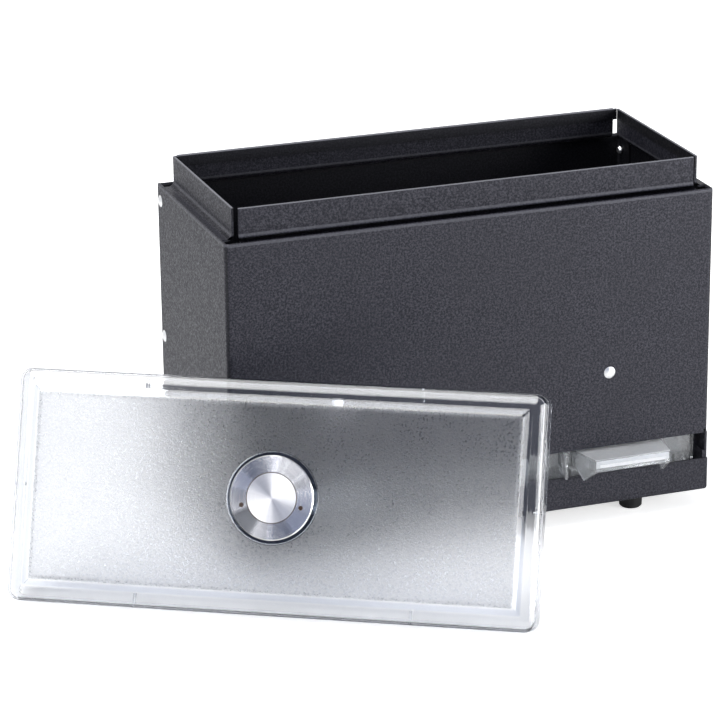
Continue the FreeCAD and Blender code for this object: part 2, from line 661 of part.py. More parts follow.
bush_inner_face = flange_inside - cell("bush_flange_length")
rod_bore = cell("rod_diameter") / 2 + cell("running_gap")
for name, side in SIDES:
    bush = new_body("%s_bush" % name)
    bush_face = new_sketch(bush, "%s_bush_flange" % name, "YZ_Plane", side * bush_inner_face)
    circle(bush_face, pivot_y, pivot_z, cell("bush_flange_diameter") / 2)
    circle(bush_face, pivot_y, pivot_z, rod_bore)
    pad(bush, bush_face, cell("bush_flange_length"), backwards=side < 0)
    bush_body = new_sketch(bush, "%s_bush_body" % name, "YZ_Plane", side * flange_inside)
    circle(bush_body, pivot_y, pivot_z, cell("bush_diameter") / 2)
    circle(bush_body, pivot_y, pivot_z, rod_bore)
    pad(bush, bush_body, sheet_metal, backwards=side < 0)

rod = new_body("pivot_rod")
rod_section = new_sketch(rod, "rod_section", "YZ_Plane")
circle(rod_section, pivot_y, pivot_z, cell("rod_diameter") / 2)
rod_length = 2 * (side_inside - cell("rod_end_gap"))
pad(rod, rod_section, rod_length, symmetric=True)
round_edges(rod, "rod_ends", cell("rod_chamfer"), lambda edge: True, "PartDesign::Chamfer")

# Lever: one clear moulding with two press pads, fins that reach over the wall, and a tray

lever = new_body("dispensing_lever")
lever_half = bush_inner_face - cell("lever_end_gap")
lever_wall = cell("lever_wall")
strip_face = pivot_y - cell("strip_front")
strip_middle = strip_face + lever_wall / 2
strip_back = strip_face + lever_wall
strip_top = slot_top + cell("strip_lap_above")
strip_low = slot_low - cell("strip_lap_below")
pad_front = strip_face - cell("pad_reach")
pad_top = slot_top - cell("pad_clearance")
pad_low = pad_top - cell("pad_face_height")
pad_outer = lever_half - cell("pad_inset")
pad_inner = pad_outer - cell("pad_face_length")
inner_root = pad_inner - cell("pad_inner_flare")
outer_root = pad_outer + cell("pad_outer_flare")
fin = cell("fin_thickness")
thin = cell("gusset_thickness")
fin_point_y = front_face - cell("fin_reach")
fin_point_z = slot_low - cell("fin_drop")
fin_low = slot_low + cell("fin_rise")

# The fins at a pad's ends spread towards the strip: their plan first, then their side outline.
fin_plan = new_sketch(lever, "lever_fin_plan", "XY_Plane", fin_point_z)
for name, side in SIDES:
    outline(fin_plan, [(side * pad_inner, pad_front), (side * (pad_inner + fin), pad_front),
                       (side * (inner_root + fin), strip_middle), (side * inner_root, strip_middle)])
    outline(fin_plan, [(side * (pad_outer - fin), pad_front), (side * pad_outer, pad_front),
                       (side * outer_root, strip_middle), (side * (outer_root - fin), strip_middle)])
pad(lever, fin_plan, pad_top - fin_point_z)
fin_side = new_sketch(lever, "lever_fin_side", "YZ_Plane")
overrun = cell("pad_reach")
rectangle(fin_side, pad_front - overrun, fin_point_z - overrun, strip_back + overrun,
          pad_top + overrun)
outline(fin_side, [(strip_back, pad_top), (pad_front, pad_top), (pad_front, pad_low),
                   (fin_point_y, fin_point_z), (front_face + cell("fin_step"), fin_low),
                   (strip_back, fin_low)])
pocket(lever, fin_side, 3 * lever_half, symmetric=True)

barrel = new_sketch(lever, "lever_barrel", "YZ_Plane")
circle(barrel, pivot_y, pivot_z, cell("barrel_diameter") / 2)
pad(lever, barrel, 2 * lever_half, symmetric=True)
strip = new_sketch(lever, "lever_strip", "XZ_Plane", -strip_face)
outline(strip, [(-lever_half, strip_top), (-lever_half, strip_low), (-outer_root, strip_low),
                (-outer_root, pivot_z), (outer_root, pivot_z), (outer_root, strip_low),
                (lever_half, strip_low), (lever_half, strip_top)])
pad(lever, strip, lever_wall, backwards=True)
round_edges(lever, "lever_strip_corners", cell("strip_corner"),
            lambda edge: runs_along(edge, 1) and near(abs(middle(edge).x), lever_half)
            and near(middle(edge).z, strip_low))
tray_bend_y = pivot_y + cell("tail_reach")
tray_bend_z = pivot_z + cell("tail_rise")
tray_lip_y = tray_bend_y + cell("tail_lip_run")
tray_lip_z = tray_bend_z + cell("tail_lip_height")
tray = new_sketch(lever, "lever_tray", "YZ_Plane")
outline(tray, [(pivot_y, pivot_z), (tray_bend_y, tray_bend_z - lever_wall / 2),
               (tray_lip_y + lever_wall / 2, tray_lip_z), (tray_lip_y - lever_wall / 2, tray_lip_z),
               (tray_bend_y - lever_wall / 2, tray_bend_z + lever_wall / 2),
               (pivot_y, pivot_z + lever_wall)])
pad(lever, tray, 2 * lever_half, symmetric=True)


def lever_plate(name, outline_points, side, low_x, high_x):
    """A plate of the lever square to X, between two places on the left or the right."""
    plate = new_sketch(lever, name, "YZ_Plane", side * low_x)
    outline(plate, outline_points)
    pad(lever, plate, high_x - low_x, backwards=side < 0)


# Gussets under the straws' path, and full cheeks at the two ends.
gusset = [(strip_middle, pivot_z), (strip_middle, pivot_z + cell("gusset_height")),
          (strip_back, pivot_z + cell("gusset_height")),
          (tray_bend_y - lever_wall / 2, tray_bend_z), (pivot_y, pivot_z)]
cheek = [(strip_middle, strip_low + cell("strip_corner")), (strip_middle, strip_top),
         (strip_back, strip_top), (tray_lip_y, tray_lip_z), (tray_bend_y, tray_bend_z),
         (pivot_y, pivot_z)]
tooth_front = front_face - cell("tooth_reach")
tooth_top = slot_top - cell("tooth_clearance")
tooth = [(strip_middle, tooth_top), (tooth_front, tooth_top), (tooth_front, slot_low),
         (front_face + cell("tooth_step"), slot_low + cell("tooth_rise")),
         (strip_face, slot_low + cell("tooth_root")), (strip_middle, slot_low + cell("tooth_root"))]
pad_face = [(pad_front, pad_low), (pad_front + lever_wall, pad_low),
            (pad_front + lever_wall, pad_top), (pad_front, pad_top)]
side_wall_end = pad_front + cell("side_wall_reach")
side_wall = [(pad_front, pad_low), (side_wall_end, pad_low), (side_wall_end, pad_top),
             (pad_front, pad_top)]
pad_plan = new_sketch(lever, "lever_pad_plan", "XY_Plane", pad_top - lever_wall)
for name, side in SIDES:
    outline(pad_plan, [(side * pad_inner, pad_front), (side * pad_outer, pad_front),
                       (side * outer_root, strip_middle), (side * inner_root, strip_middle)])
pad(lever, pad_plan, lever_wall)
for name, side in SIDES:
    rib_x = lever_half - cell("end_rib_step")
    tooth_x = pad_inner - cell("tooth_inset")
    lever_plate("lever_%s_face" % name, pad_face, side, pad_inner, pad_outer)
    lever_plate("lever_%s_side_wall" % name, side_wall, side, pad_inner, pad_inner + fin)
    lever_plate("lever_%s_tooth" % name, tooth, side, tooth_x - cell("tooth_thickness"), tooth_x)
    lever_plate("lever_%s_cheek" % name, cheek, side, lever_half - lever_wall, lever_half)
    lever_plate("lever_%s_rib" % name, gusset, side, rib_x - thin, rib_x)
    lever_plate("lever_%s_inner_gusset" % name, gusset, side, inner_root, inner_root + thin)
    lever_plate("lever_%s_outer_gusset" % name, gusset, side, outer_root - thin, outer_root)
round_edges(lever, "lever_pad_edges", cell("pad_round"),
            lambda edge: near(middle(edge).y, pad_front)
            and (near(middle(edge).z, pad_top) or runs_along(edge, 2)))
lever_bore = new_sketch(lever, "lever_bore", "YZ_Plane")
circle(lever_bore, pivot_y, pivot_z, rod_bore)
pocket(lever, lever_bore, 3 * lever_half, symmetric=True)
coil_bore = cell("rod_diameter") / 2 + cell("spring_bore_gap")
coil_radius = coil_bore + cell("spring_wire")
window = new_sketch(lever, "lever_spring_window", "YZ_Plane")
circle(window, pivot_y, pivot_z, coil_radius + cell("spring_window_gap"))
pocket(lever, window, 2 * cell("window_half"), symmetric=True)

# Return spring: a closed coil round the rod, one leg on the floor and one over the tray

spring = new_body("return_spring")
coil = new_sketch(spring, "spring_coil", "YZ_Plane")
circle(coil, pivot_y, pivot_z, coil_radius)
circle(coil, pivot_y, pivot_z, coil_bore)
pad(spring, coil, 2 * cell("spring_half"), symmetric=True)
leg_radius = cell("spring_leg") / 2
leg_x = cell("spring_half") - leg_radius
leg_ring = coil_radius - cell("spring_wire") / 2
leg_end = floor_top + cell("spring_leg_rest")
floor_leg = new_sketch(spring, "spring_floor_leg", "XY_Plane", leg_end)
circle(floor_leg, -leg_x, pivot_y - leg_ring, leg_radius)
pad(spring, floor_leg, pivot_z - leg_end)
tray_leg = new_sketch(spring, "spring_tray_leg", "XZ_Plane", -pivot_y)
circle(tray_leg, leg_x, pivot_z + leg_ring, leg_radius)
pad(spring, tray_leg, cell("spring_leg_length"), backwards=True)

# Rubber stops that the lever's tray rests on

stop_x = side_face - cell("stop_inset")
stop_y = pivot_y + cell("stop_back")
stop_radius = cell("stop_diameter") / 2
tray_slope = (cell("tail_rise") - lever_wall / 2) / cell("tail_reach")
stop_top = pivot_z + tray_slope * (cell("stop_back") - stop_radius) - cell("stop_gap")
stops = []
for name, side in SIDES:
    low_end = FreeCAD.Vector(side * plain(stop_x), plain(stop_y), plain(floor_top))
    stops.append(Part.makeCylinder(plain(stop_radius), plain(stop_top - floor_top), low_end))
new_feature("lever_stops", Part.makeCompound(stops))


def turned(profile):
    """A solid turned about Z from a closed run of lines through radius and height pairs."""
    points = [FreeCAD.Vector(plain(radius), 0, plain(height)) for radius, height in profile]
    wire = Part.makePolygon(points + points[:1])
    return Part.Face(wire).revolve(FreeCAD.Vector(0, 0, 0), FreeCAD.Vector(0, 0, 1), 360)


# Feet, with a recess below for the head of the screw that holds each of them

sole = cell("foot_diameter") / 2 - cell("foot_taper")
head_gap = cell("screw_head_diameter") / 2 + cell("recess_gap")
for name, side, face in FEET:
    foot = new_body("%s_foot" % name)
    foot_half = new_sketch(foot, "%s_foot_section" % name, "XZ_Plane")
    outline(foot_half, [
        (head_gap, 0), (sole - cell("foot_edge"), 0), (sole, cell("foot_edge")),
        (cell("foot_diameter") / 2, floor_level), (screw_hole, floor_level),
        (screw_hole, cell("screw_recess")), (head_gap, cell("screw_recess"))])
    spin(foot, foot_half)
    foot.Placement = FreeCAD.Placement(
        FreeCAD.Vector(side * plain(foot_x), face * plain(foot_y), 0), FreeCAD.Rotation())

head_low = cell("screw_recess") - cell("screw_head_height")
screw_top = floor_top + cell("nut_height") + cell("screw_end")
screw_profile = [(0, head_low), (cell("screw_head_diameter") / 2, head_low),
                 (cell("screw_head_diameter") / 2, cell("screw_recess")),
                 (cell("screw_diameter") / 2, cell("screw_recess")),
                 (cell("screw_diameter") / 2, screw_top), (0, screw_top)]
screws = []
nuts = []
corner_radius = plain(cell("nut_width")) / math.sqrt(3)
for name, side, face in FEET:
    place = FreeCAD.Vector(side * plain(foot_x), face * plain(foot_y), 0)
    screws.append(turned(screw_profile).translated(place))
    corners = [FreeCAD.Vector(corner_radius * math.cos(math.radians(turn)),
                              corner_radius * math.sin(math.radians(turn)), plain(floor_top))
               for turn in range(0, 360, 60)]
    hexagon = Part.Face(Part.makePolygon(corners + corners[:1]))
    block = hexagon.extrude(FreeCAD.Vector(0, 0, plain(cell("nut_height"))))
    hole = Part.makeCylinder(plain(cell("screw_diameter") / 2 + cell("running_gap")),
                             plain(screw_top))
    nuts.append(block.cut(hole).translated(place))
new_feature("foot_screws", Part.makeCompound(screws))
new_feature("foot_nuts", Part.makeCompound(nuts))


def rivet(grip):
    """One set rivet whose head sits over z = 0 and whose shank runs down through a grip."""
    shank = cell("rivet_diameter") / 2
    head = plain(cell("rivet_head_diameter")) / 2
    dome = plain(cell("rivet_head_height"))
    tail = cell("rivet_tail_diameter") / 2
    tail_end = -grip - cell("rivet_tail_length")
    low = [FreeCAD.Vector(plain(radius), 0, plain(height)) for radius, height in (
        (0, tail_end), (shank, tail_end), (tail, tail_end / 2 - grip / 2), (shank, -grip),
        (shank, 0))]
    edge = FreeCAD.Vector(head, 0, 0)
    top = FreeCAD.Vector(0, 0, dome)
    radius = (head ** 2 + dome ** 2) / (2 * dome)
    half_turn = math.asin(head / radius) / 2
    halfway = FreeCAD.Vector(radius * math.sin(half_turn), 0,
                             dome - radius + radius * math.cos(half_turn))
    lines = [Part.makeLine(start, end) for start, end in zip(low, low[1:] + [edge])]
    lines.append(Part.Arc(edge, halfway, top).toShape())
    lines.append(Part.makeLine(top, low[0]))
    face = Part.Face(Part.Wire(lines))
    return face.revolve(FreeCAD.Vector(0, 0, 0), FreeCAD.Vector(0, 0, 1), 360)


def rivets(label, grip, outward, places):
    """A group of equal rivets whose heads point outward."""
    turn = FreeCAD.Rotation(FreeCAD.Vector(0, 0, 1), FreeCAD.Vector(*outward))
    group = []
    for place in places:
        spot = FreeCAD.Vector(*[plain(length) for length in place])
        one = rivet(grip)
        one.Placement = FreeCAD.Placement(spot, turn)
        group.append(one)
    new_feature(label, Part.makeCompound(group))


two_sheets = 2 * sheet_metal + seam
for name, side in SIDES:
    spots = [(side * side_face, rivet_y, height) for height in side_rivet_heights]
    rivets("%s_side_rivets" % name, two_sheets, (side, 0, 0), spots)
    rivets("%s_pan_rivet" % name, two_sheets, (side, 0, 0),
           [(side * side_face, pan_rivet_y, pan_rivet_z)])
rivets("front_rivets", two_sheets, (0, -1, 0),
       [(side * front_rivet_x, front_face, front_rivet_z) for name, side in SIDES])
rivets("ramp_back_rivets", two_sheets, (0, 1, 0),
       [(side * back_rivet_x, back_face, back_rivet_z) for name, side in SIDES])
rivets("ramp_floor_rivets", two_sheets, (0, 0, -1),
       [(side * floor_rivet_x, floor_rivet_y, floor_level) for name, side in SIDES])

# Lid, drawn as it lies closed: Z up through the panel, the skirt's edge at zero

lid_turn = math.radians(LID_TURN)
lid_lean = math.radians(LID_LEAN)
lid_along = FreeCAD.Vector(math.cos(lid_turn), math.sin(lid_turn), 0)
lid_normal = FreeCAD.Vector(math.sin(lid_turn) * math.cos(lid_lean),
                            -math.cos(lid_turn) * math.cos(lid_lean), math.sin(lid_lean))
lid_up = lid_normal.cross(lid_along)
level_normal = FreeCAD.Vector(math.sin(lid_turn), -math.cos(lid_turn), 0)
# The skirt's upper edge leans on the rounded front left corner of the box.
corner_axis = FreeCAD.Vector(plain(outer_bend - side_face), plain(front_face + outer_bend), 0)
lid_half_depth = plain(back_face)
stand_off = (plain(outer_bend + cell("lid_gap")) + lid_half_depth * math.sin(lid_lean))
lid_origin = (corner_axis + level_normal * stand_off + lid_along * plain(cell("lid_shift"))
              + FreeCAD.Vector(0, 0, lid_half_depth * math.cos(lid_lean)))
lid_rotation = FreeCAD.Rotation(lid_along, lid_up, lid_normal, "ZXY")
lid_place = FreeCAD.Placement(lid_origin, lid_rotation)

lid = new_body("lid_shell")
lid_top = cell("lid_skirt") + cell("lid_rise")


def lid_loft(name, kind, low, high, inset, slope_inset, low_radius, high_radius):
    """The part of the lid between two levels, narrowing by the border's width."""
    low_sketch = new_sketch(lid, name + "_low", "XY_Plane", low)
    rounded_rectangle(low_sketch, side_face - inset, back_face - inset, low_radius)
    high_sketch = new_sketch(lid, name + "_high", "XY_Plane", high)
    rounded_rectangle(high_sketch, side_face - slope_inset, back_face - slope_inset, high_radius)
    feature = lid.newObject(kind, name)
    feature.Profile = low_sketch
    feature.Sections = [high_sketch]
    feature.Ruled = True
    return feature


lid_wall = cell("lid_wall")
# The sloping border keeps its thickness: its inner skin starts lower by the slope's share.
slope = math.hypot(plain(cell("lid_border")), plain(cell("lid_rise")))
inner_drop = lid_wall * (slope / plain(cell("lid_border"))) - lid_wall * (
    plain(cell("lid_rise")) / plain(cell("lid_border")))
inner_skirt_top = cell("lid_skirt") - inner_drop
outer_skirt = new_sketch(lid, "lid_outer_skirt", "XY_Plane")
rounded_rectangle(outer_skirt, side_face, back_face, cell("lid_corner"))
pad(lid, outer_skirt, cell("lid_skirt"))
lid_loft("lid_border", "PartDesign::AdditiveLoft", cell("lid_skirt"), lid_top, 0 * lid_wall,
         cell("lid_border"), cell("lid_corner"), cell("panel_corner"))
round_edges(lid, "lid_edge", cell("lid_edge_round"),
            lambda edge: near(edge.BoundBox.ZMin, cell("lid_skirt"))
            and near(edge.BoundBox.ZMax, cell("lid_skirt")))
inner_skirt = new_sketch(lid, "lid_inner_skirt", "XY_Plane")
inner_corner = cell("lid_corner") - lid_wall
rounded_rectangle(inner_skirt, side_face - lid_wall, back_face - lid_wall, inner_corner)
pocket(lid, inner_skirt, inner_skirt_top, backwards=True)
panel_under = lid_top - lid_wall
inner_slope_inset = lid_wall + (panel_under - inner_skirt_top) * (
    plain(cell("lid_border")) / plain(cell("lid_rise")))
lid_loft("lid_hollow", "PartDesign::SubtractiveLoft", inner_skirt_top, panel_under, lid_wall,
         inner_slope_inset, inner_corner, cell("panel_corner"))
doc.recompute()
seat = new_sketch(lid, "lid_seat", "XY_Plane", lid_top)
circle(seat, 0, 0, cell("seat_diameter") / 2)
pocket(lid, seat, cell("seat_depth"))
nib_low = cell("lid_skirt") - cell("nib_height")
nib_sketch = new_sketch(lid, "lid_nibs", "XY_Plane", nib_low)
nib_half = cell("nib_width") / 2
nib_x = side_face - cell("nib_inset")
for name, side in SIDES:
    for face in (-1, 1):
        outer = face * (back_face - lid_wall / 2)
        inner = face * (back_face - lid_wall - cell("nib_reach"))
        outline(nib_sketch, [(side * nib_x - nib_half, outer), (side * nib_x + nib_half, outer),
                             (side * nib_x + nib_half, inner), (side * nib_x - nib_half, inner)])
    outer = side * (side_face - lid_wall / 2)
    inner = side * (side_face - lid_wall - cell("nib_reach"))
    outline(nib_sketch, [(outer, -nib_half), (inner, -nib_half), (inner, nib_half),
                         (outer, nib_half)])
pad(lid, nib_sketch, cell("nib_height") - lid_wall)
lid.Placement = lid_place

seat_floor = lid_top - cell("seat_depth")
tape = new_body("medallion_tape")
tape_disc = new_sketch(tape, "tape_disc", "XY_Plane", seat_floor)
circle(tape_disc, 0, 0, cell("medallion_diameter") / 2 - cell("tape_inset"))
pad(tape, tape_disc, cell("tape_thickness"))
tape.Placement = lid_place

medallion = new_body("lid_medallion")
medallion_disc = new_sketch(medallion, "medallion_disc", "XY_Plane",
                            seat_floor + cell("tape_thickness"))
circle(medallion_disc, 0, 0, cell("medallion_diameter") / 2)
pad(medallion, medallion_disc, cell("medallion_thickness"))
medallion_face = seat_floor + cell("tape_thickness") + cell("medallion_thickness")
round_edges(medallion, "medallion_edge", cell("medallion_edge"),
            lambda edge: near(middle(edge).z, medallion_face), "PartDesign::Chamfer")
medallion.Placement = lid_place

# Check and write

doc.recompute()
for thing in doc.Objects:
    if "Invalid" in thing.State or "Error" in thing.State:
        raise ValueError("%s is %s" % (thing.Name, thing.State))
os.makedirs("parts", exist_ok=True)
for node in NODES:
    if node.Shape.isNull() or not node.Shape.isValid():
        raise ValueError("%s has no valid shape" % node.Label)
    node.Shape.exportStep("parts/%s.step" % node.Label)
    print(node.Label, len(node.Shape.Solids), round(node.Shape.Volume), "mm3")
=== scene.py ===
import math

import bmesh
import bpy
from mathutils import Matrix, Vector


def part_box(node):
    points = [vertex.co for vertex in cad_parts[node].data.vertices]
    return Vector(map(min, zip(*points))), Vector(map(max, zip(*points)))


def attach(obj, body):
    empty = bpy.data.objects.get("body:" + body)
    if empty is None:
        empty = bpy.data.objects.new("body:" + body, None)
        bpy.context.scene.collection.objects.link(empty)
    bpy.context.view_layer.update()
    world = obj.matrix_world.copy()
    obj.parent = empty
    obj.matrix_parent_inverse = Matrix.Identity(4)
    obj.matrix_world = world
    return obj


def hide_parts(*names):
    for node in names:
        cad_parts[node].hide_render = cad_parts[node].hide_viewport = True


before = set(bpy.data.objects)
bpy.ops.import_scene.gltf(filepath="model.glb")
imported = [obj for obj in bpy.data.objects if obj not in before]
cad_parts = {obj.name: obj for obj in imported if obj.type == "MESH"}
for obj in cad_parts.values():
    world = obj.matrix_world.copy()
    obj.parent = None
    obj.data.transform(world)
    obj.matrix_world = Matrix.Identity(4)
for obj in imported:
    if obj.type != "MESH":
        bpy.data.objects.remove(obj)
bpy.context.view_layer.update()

# Straw dispenser: a dark powder-coated steel box with its clear lever in the slot, and the
# clear lid leaning against its front left corner. Metres; the front faces -Y, Z is up.

MM = 0.001

# Camera: where the photograph was taken from, and its small roll.
CAMERA_PLACE = (-0.5998, -1.5664, 0.6775)
CAMERA_YAW = 19.59
CAMERA_PITCH = 19.55
CAMERA_ROLL = -0.61
CAMERA_LENS = 167.07
SENSOR = 36.0

# The leaning lid: its turn and lean in degrees, and its sizes.
LID_TURN = -30.0
LID_LEAN = 22.6
LID_HALF_LENGTH = 133.5 * MM
LID_HALF_DEPTH = 58.5 * MM
LID_CORNER = 6.0 * MM
LID_WALL = 2.2 * MM
LID_TOP = 22.0 * MM
BORDER = 11.7 * MM
PANEL_CORNER = 0.8 * MM
CORNER_SEGMENTS = 6
# The lid's outer and inner profiles in mm: inward from the edge, and up from the rim.
LID_OUTSIDE = ((0.3, 0), (0.08, 0.1), (0, 0.35), (0, 14.3), (0.12, 14.95), (0.45, 15.55),
               (0.95, 16.0), (4.6, 18.1), (5.1, 18.33), (5.7, 18.45), (6.9, 18.53),
               (7.2, 18.48), (7.5, 18.42), (7.9, 18.6), (11.2, 21.25), (11.5, 21.5),
               (11.9, 21.8), (12.4, 21.95), (13.0, 22.0))
LID_INSIDE = ((2.2, 0), (2.2, 13.4), (2.35, 13.95), (2.75, 14.4), (5.4, 15.95), (5.9, 16.15),
              (6.5, 16.25), (8.5, 16.3), (9.1, 16.5), (12.6, 19.3), (13.0, 19.6), (13.6, 19.8))
PANEL_HALF_LENGTH = LID_HALF_LENGTH - BORDER
PANEL_HALF_DEPTH = LID_HALF_DEPTH - BORDER
SEAT_RADIUS = 23.1 * MM
SEAT_DEPTH = 1.0 * MM
SEAT_FLARE = 0.5 * MM
TAPE_THICK = 0.4 * MM
MEDALLION_HALF = 1.0 * MM
# The lid's clear polish, and the mean height of its grain as the noise gives it.
CLEAR_ROUGHNESS = 0.03
GRAIN_LEVEL = 0.33
# Painted shade bands, inward from the edge: on the inner slope from, to and fading over, and on
# the bead from, to, before and after.
SLOPE_SHADE_BAND = (8.6 * MM, 10.6 * MM, 0.9 * MM)
BEAD_SHADE_BAND = (0.9 * MM, 2.2 * MM, 0.8, 0)
# The clear rim between the seat and the grain, and the painted shade of the groove round the
# medallion.
GRAIN_STARTS = (23.3 * MM, 23.6 * MM)
GROOVE_SHADE_ENDS = (22.8 * MM, 23.0 * MM)
RIB_WIDTH = 1.4 * MM
RIB_REACH = 3.7 * MM
RIB_LOW = 3.0 * MM
RIB_HIGH = 6.5 * MM
RIB_PLACE = 70.0 * MM
RIB_ROUND = 0.25 * MM

# Clear lever: the sunk bar in a pad's face, how far the matt top reaches back from that
# face, and the rounding of its edges.
PAD_FRAME = 2.1 * MM
PAD_SINK = 0.2 * MM
PAD_TOP = 22.0 * MM
LEVER_ROUND = 0.35 * MM

# The shoulder and the rim of the box, where the painted shade of the crease at the rim's foot
# starts on the shoulder, half of the space inside the rim and inside the walls, and where the
# painted shade inside starts.
SHOULDER = 178.4 * MM
RIM_TOP = 194.6 * MM
CREASE_SHADE_X = 129.0 * MM
CREASE_SHADE_Y = 57.0 * MM
INSIDE_X = 126.7 * MM
INSIDE_Y = 51.7 * MM
WALLS_X = 133.0 * MM
WALLS_Y = 58.0 * MM
INSIDE_SHADE_FROM = 60.0 * MM
# Heights over which the painted shade inside the rim's upper edge comes in.
RIM_SHADE = (RIM_TOP - 7.0 * MM, RIM_TOP - 5.5 * MM)
# Heights of the painted highlights: on the folds, from and to, and on the upper edge, from and
# full.
WALL_FOLD_HIGHLIGHT = (SHOULDER - 1.4 * MM, SHOULDER - 0.5 * MM)
FOOT_FOLD_HIGHLIGHT = (SHOULDER + 1.8 * MM, SHOULDER + 2.6 * MM)
TOP_EDGE_HIGHLIGHT = (RIM_TOP - 0.5 * MM, RIM_TOP - 0.2 * MM)
# Painted shade in the crease: its height, and how it weakens from the front back along Y: from,
# to, before, after.
CREASE_SHADE_HEIGHT = (SHOULDER - 0.1 * MM, SHOULDER + 0.8 * MM)
CREASE_SHADE_FADE = (-50.0 * MM, -30.0 * MM, 1, 0.55)
CREASE_SHADE_END = (49.0 * MM, 50.0 * MM, 1, 0)

# The hem inside the back rim's upper edge, which closes the top of the open corners.
HEM_HALF_LENGTH = 125.9 * MM
HEM_BACK = 51.0 * MM
HEM_THICK = 1.2 * MM
HEM_HEIGHT = 6.0 * MM
HEM_ROUND = 0.45 * MM
HEM_LIP = 0.3 * MM
HEM_GROOVE = 0.6 * MM

# Medallion: the printed circle and the two dots, in its own plane.
PRINT_RADIUS = 12.6 * MM
PRINT_WIDTH = 0.5 * MM
DOT_RADIUS = 1.2 * MM
DOT_PLACE = (14.9 * MM, -4.2 * MM)
# The way from the disc's middle towards its painted dark wedge of reflection.
DARK_WEDGE_WAY = (-0.72, -0.69, 0.0)
# Brushed marks on it, as noise per metre along the radius: fine grooves and wide bands.
GROOVE_SCALE = 5200.0
BAND_SCALE = 700.0

# Softboxes: name, place, aim, width, height in metres, and power in watts.
SOFTBOXES = (
    ("left_softbox", (-1.9, -0.9, 1.3), (0, 0, 0.08), 1.0, 1.0, 21.0),
    ("right_softbox", (0.93, -1.0, 0.33), (0.1, -0.15, 0.1), 0.8, 0.7, 16.0),
    ("top_softbox", (-0.45, -0.05, 2.0), (-0.1, 0, 0.1), 1.2, 1.2, 34.0),
)


# Shader helpers

class Shader:
    """A node tree that adds, sets and links nodes in one call each."""

    def __init__(self, tree):
        self.tree = tree

    def add(self, kind, settings=None, **inputs):
        node = self.tree.nodes.new(kind)
        for name, value in (settings or {}).items():
            setattr(node, name, value)
        for name, value in inputs.items():
            self.feed(node, name.replace("_", " "), value)
        return node

    def feed(self, node, name, value):
        place = int(name[1:]) if name[0] == "n" and name[1:].isdigit() else name
        if isinstance(value, bpy.types.NodeSocket):
            self.tree.links.new(value, node.inputs[place])
        else:
            node.inputs[place].default_value = value

    def math(self, operation, first, second=0.0, third=0.0):
        node = self.add("ShaderNodeMath", {"operation": operation}, n0=first, n1=second, n2=third)
        return node.outputs[0]

    def step(self, value, low, high, low_out=0.0, high_out=1.0):
        node = self.add("ShaderNodeMapRange", {"interpolation_type": "SMOOTHSTEP"}, Value=value,
                        From_Min=low, From_Max=high, To_Min=low_out, To_Max=high_out)
        return node.outputs[0]

    def noise(self, vector, scale, detail=2.0, roughness=0.5):
        node = self.add("ShaderNodeTexNoise", Vector=vector, Scale=scale, Detail=detail,
                        Roughness=roughness)
        return node.outputs["Fac"]

    def blend(self, factor, first, second):
        node = self.add("ShaderNodeMix", {"data_type": "RGBA"})
        self.feed(node, "n0", factor)
        self.feed(node, "n6", first)
        self.feed(node, "n7", second)
        return node.outputs[2]

    def bump(self, height, distance, strength=1.0, normal=None):
        node = self.add("ShaderNodeBump", Height=height, Distance=distance, Strength=strength)
        if normal is not None:
            self.feed(node, "Normal", normal)
        return node.outputs["Normal"]


def effect(name, inputs, outputs):
    """A shader node group with named inputs and outputs."""
    tree = bpy.data.node_groups.new(name, "ShaderNodeTree")
    for socket, kind, value in inputs:
        made = tree.interface.new_socket(socket, in_out="INPUT", socket_type=kind)
        if value is not None:
            made.default_value = value
    for socket, kind in outputs:
        tree.interface.new_socket(socket, in_out="OUTPUT", socket_type=kind)
    shader = Shader(tree)
    return shader, shader.add("NodeGroupInput"), shader.add("NodeGroupOutput")


def material(name):
    """A new material: its tree, its principled shader and its object coordinates."""
    made = bpy.data.materials.new(name)
    made.use_nodes = True
    shader = Shader(made.node_tree)
    surface = made.node_tree.nodes["Principled BSDF"]
    place = shader.add("ShaderNodeTexCoord").outputs["Object"]
    return made, shader, surface, place


def set_all(shader, surface, **values):
    """Set or link several of a shader's sockets."""
    for name, value in values.items():
        shader.feed(surface, name.replace("_", " "), value)


def placed(shader, group, **inputs):
    """Place a shared effect in a material, with its own values."""
    node = shader.add("ShaderNodeGroup", {"node_tree": group})
    for name, value in inputs.items():
        shader.feed(node, name.replace("_", " "), value)
    return node


# Effects that several materials share

FLOAT, COLOR, VECTOR = "NodeSocketFloat", "NodeSocketColor", "NodeSocketVector"


def make_grain():
    """Fine uneven grain: a height, and a mask of its peaks."""
    shader, given, out = effect("fine_grain", [
        ("Vector", VECTOR, None), ("Size", FLOAT, 1.0 * MM), ("Sharpness", FLOAT, 0.5)],
        [("Height", FLOAT), ("Peaks", FLOAT)])
    scale = shader.math("DIVIDE", 1.0, given.outputs["Size"])
    fine = shader.noise(given.outputs["Vector"], scale, 3.0, 0.6)
    coarse = shader.noise(given.outputs["Vector"], shader.math("MULTIPLY", scale, 0.37), 2.0, 0.5)
    both = shader.math("MULTIPLY_ADD", coarse, 0.5, shader.math("MULTIPLY", fine, 0.5))
    height = shader.math("POWER", both, shader.math("ADD", given.outputs["Sharpness"], 1.0))
    shader.feed(out, "Height", height)
    shader.feed(out, "Peaks", shader.step(both, 0.42, 0.64))
    return shader.tree


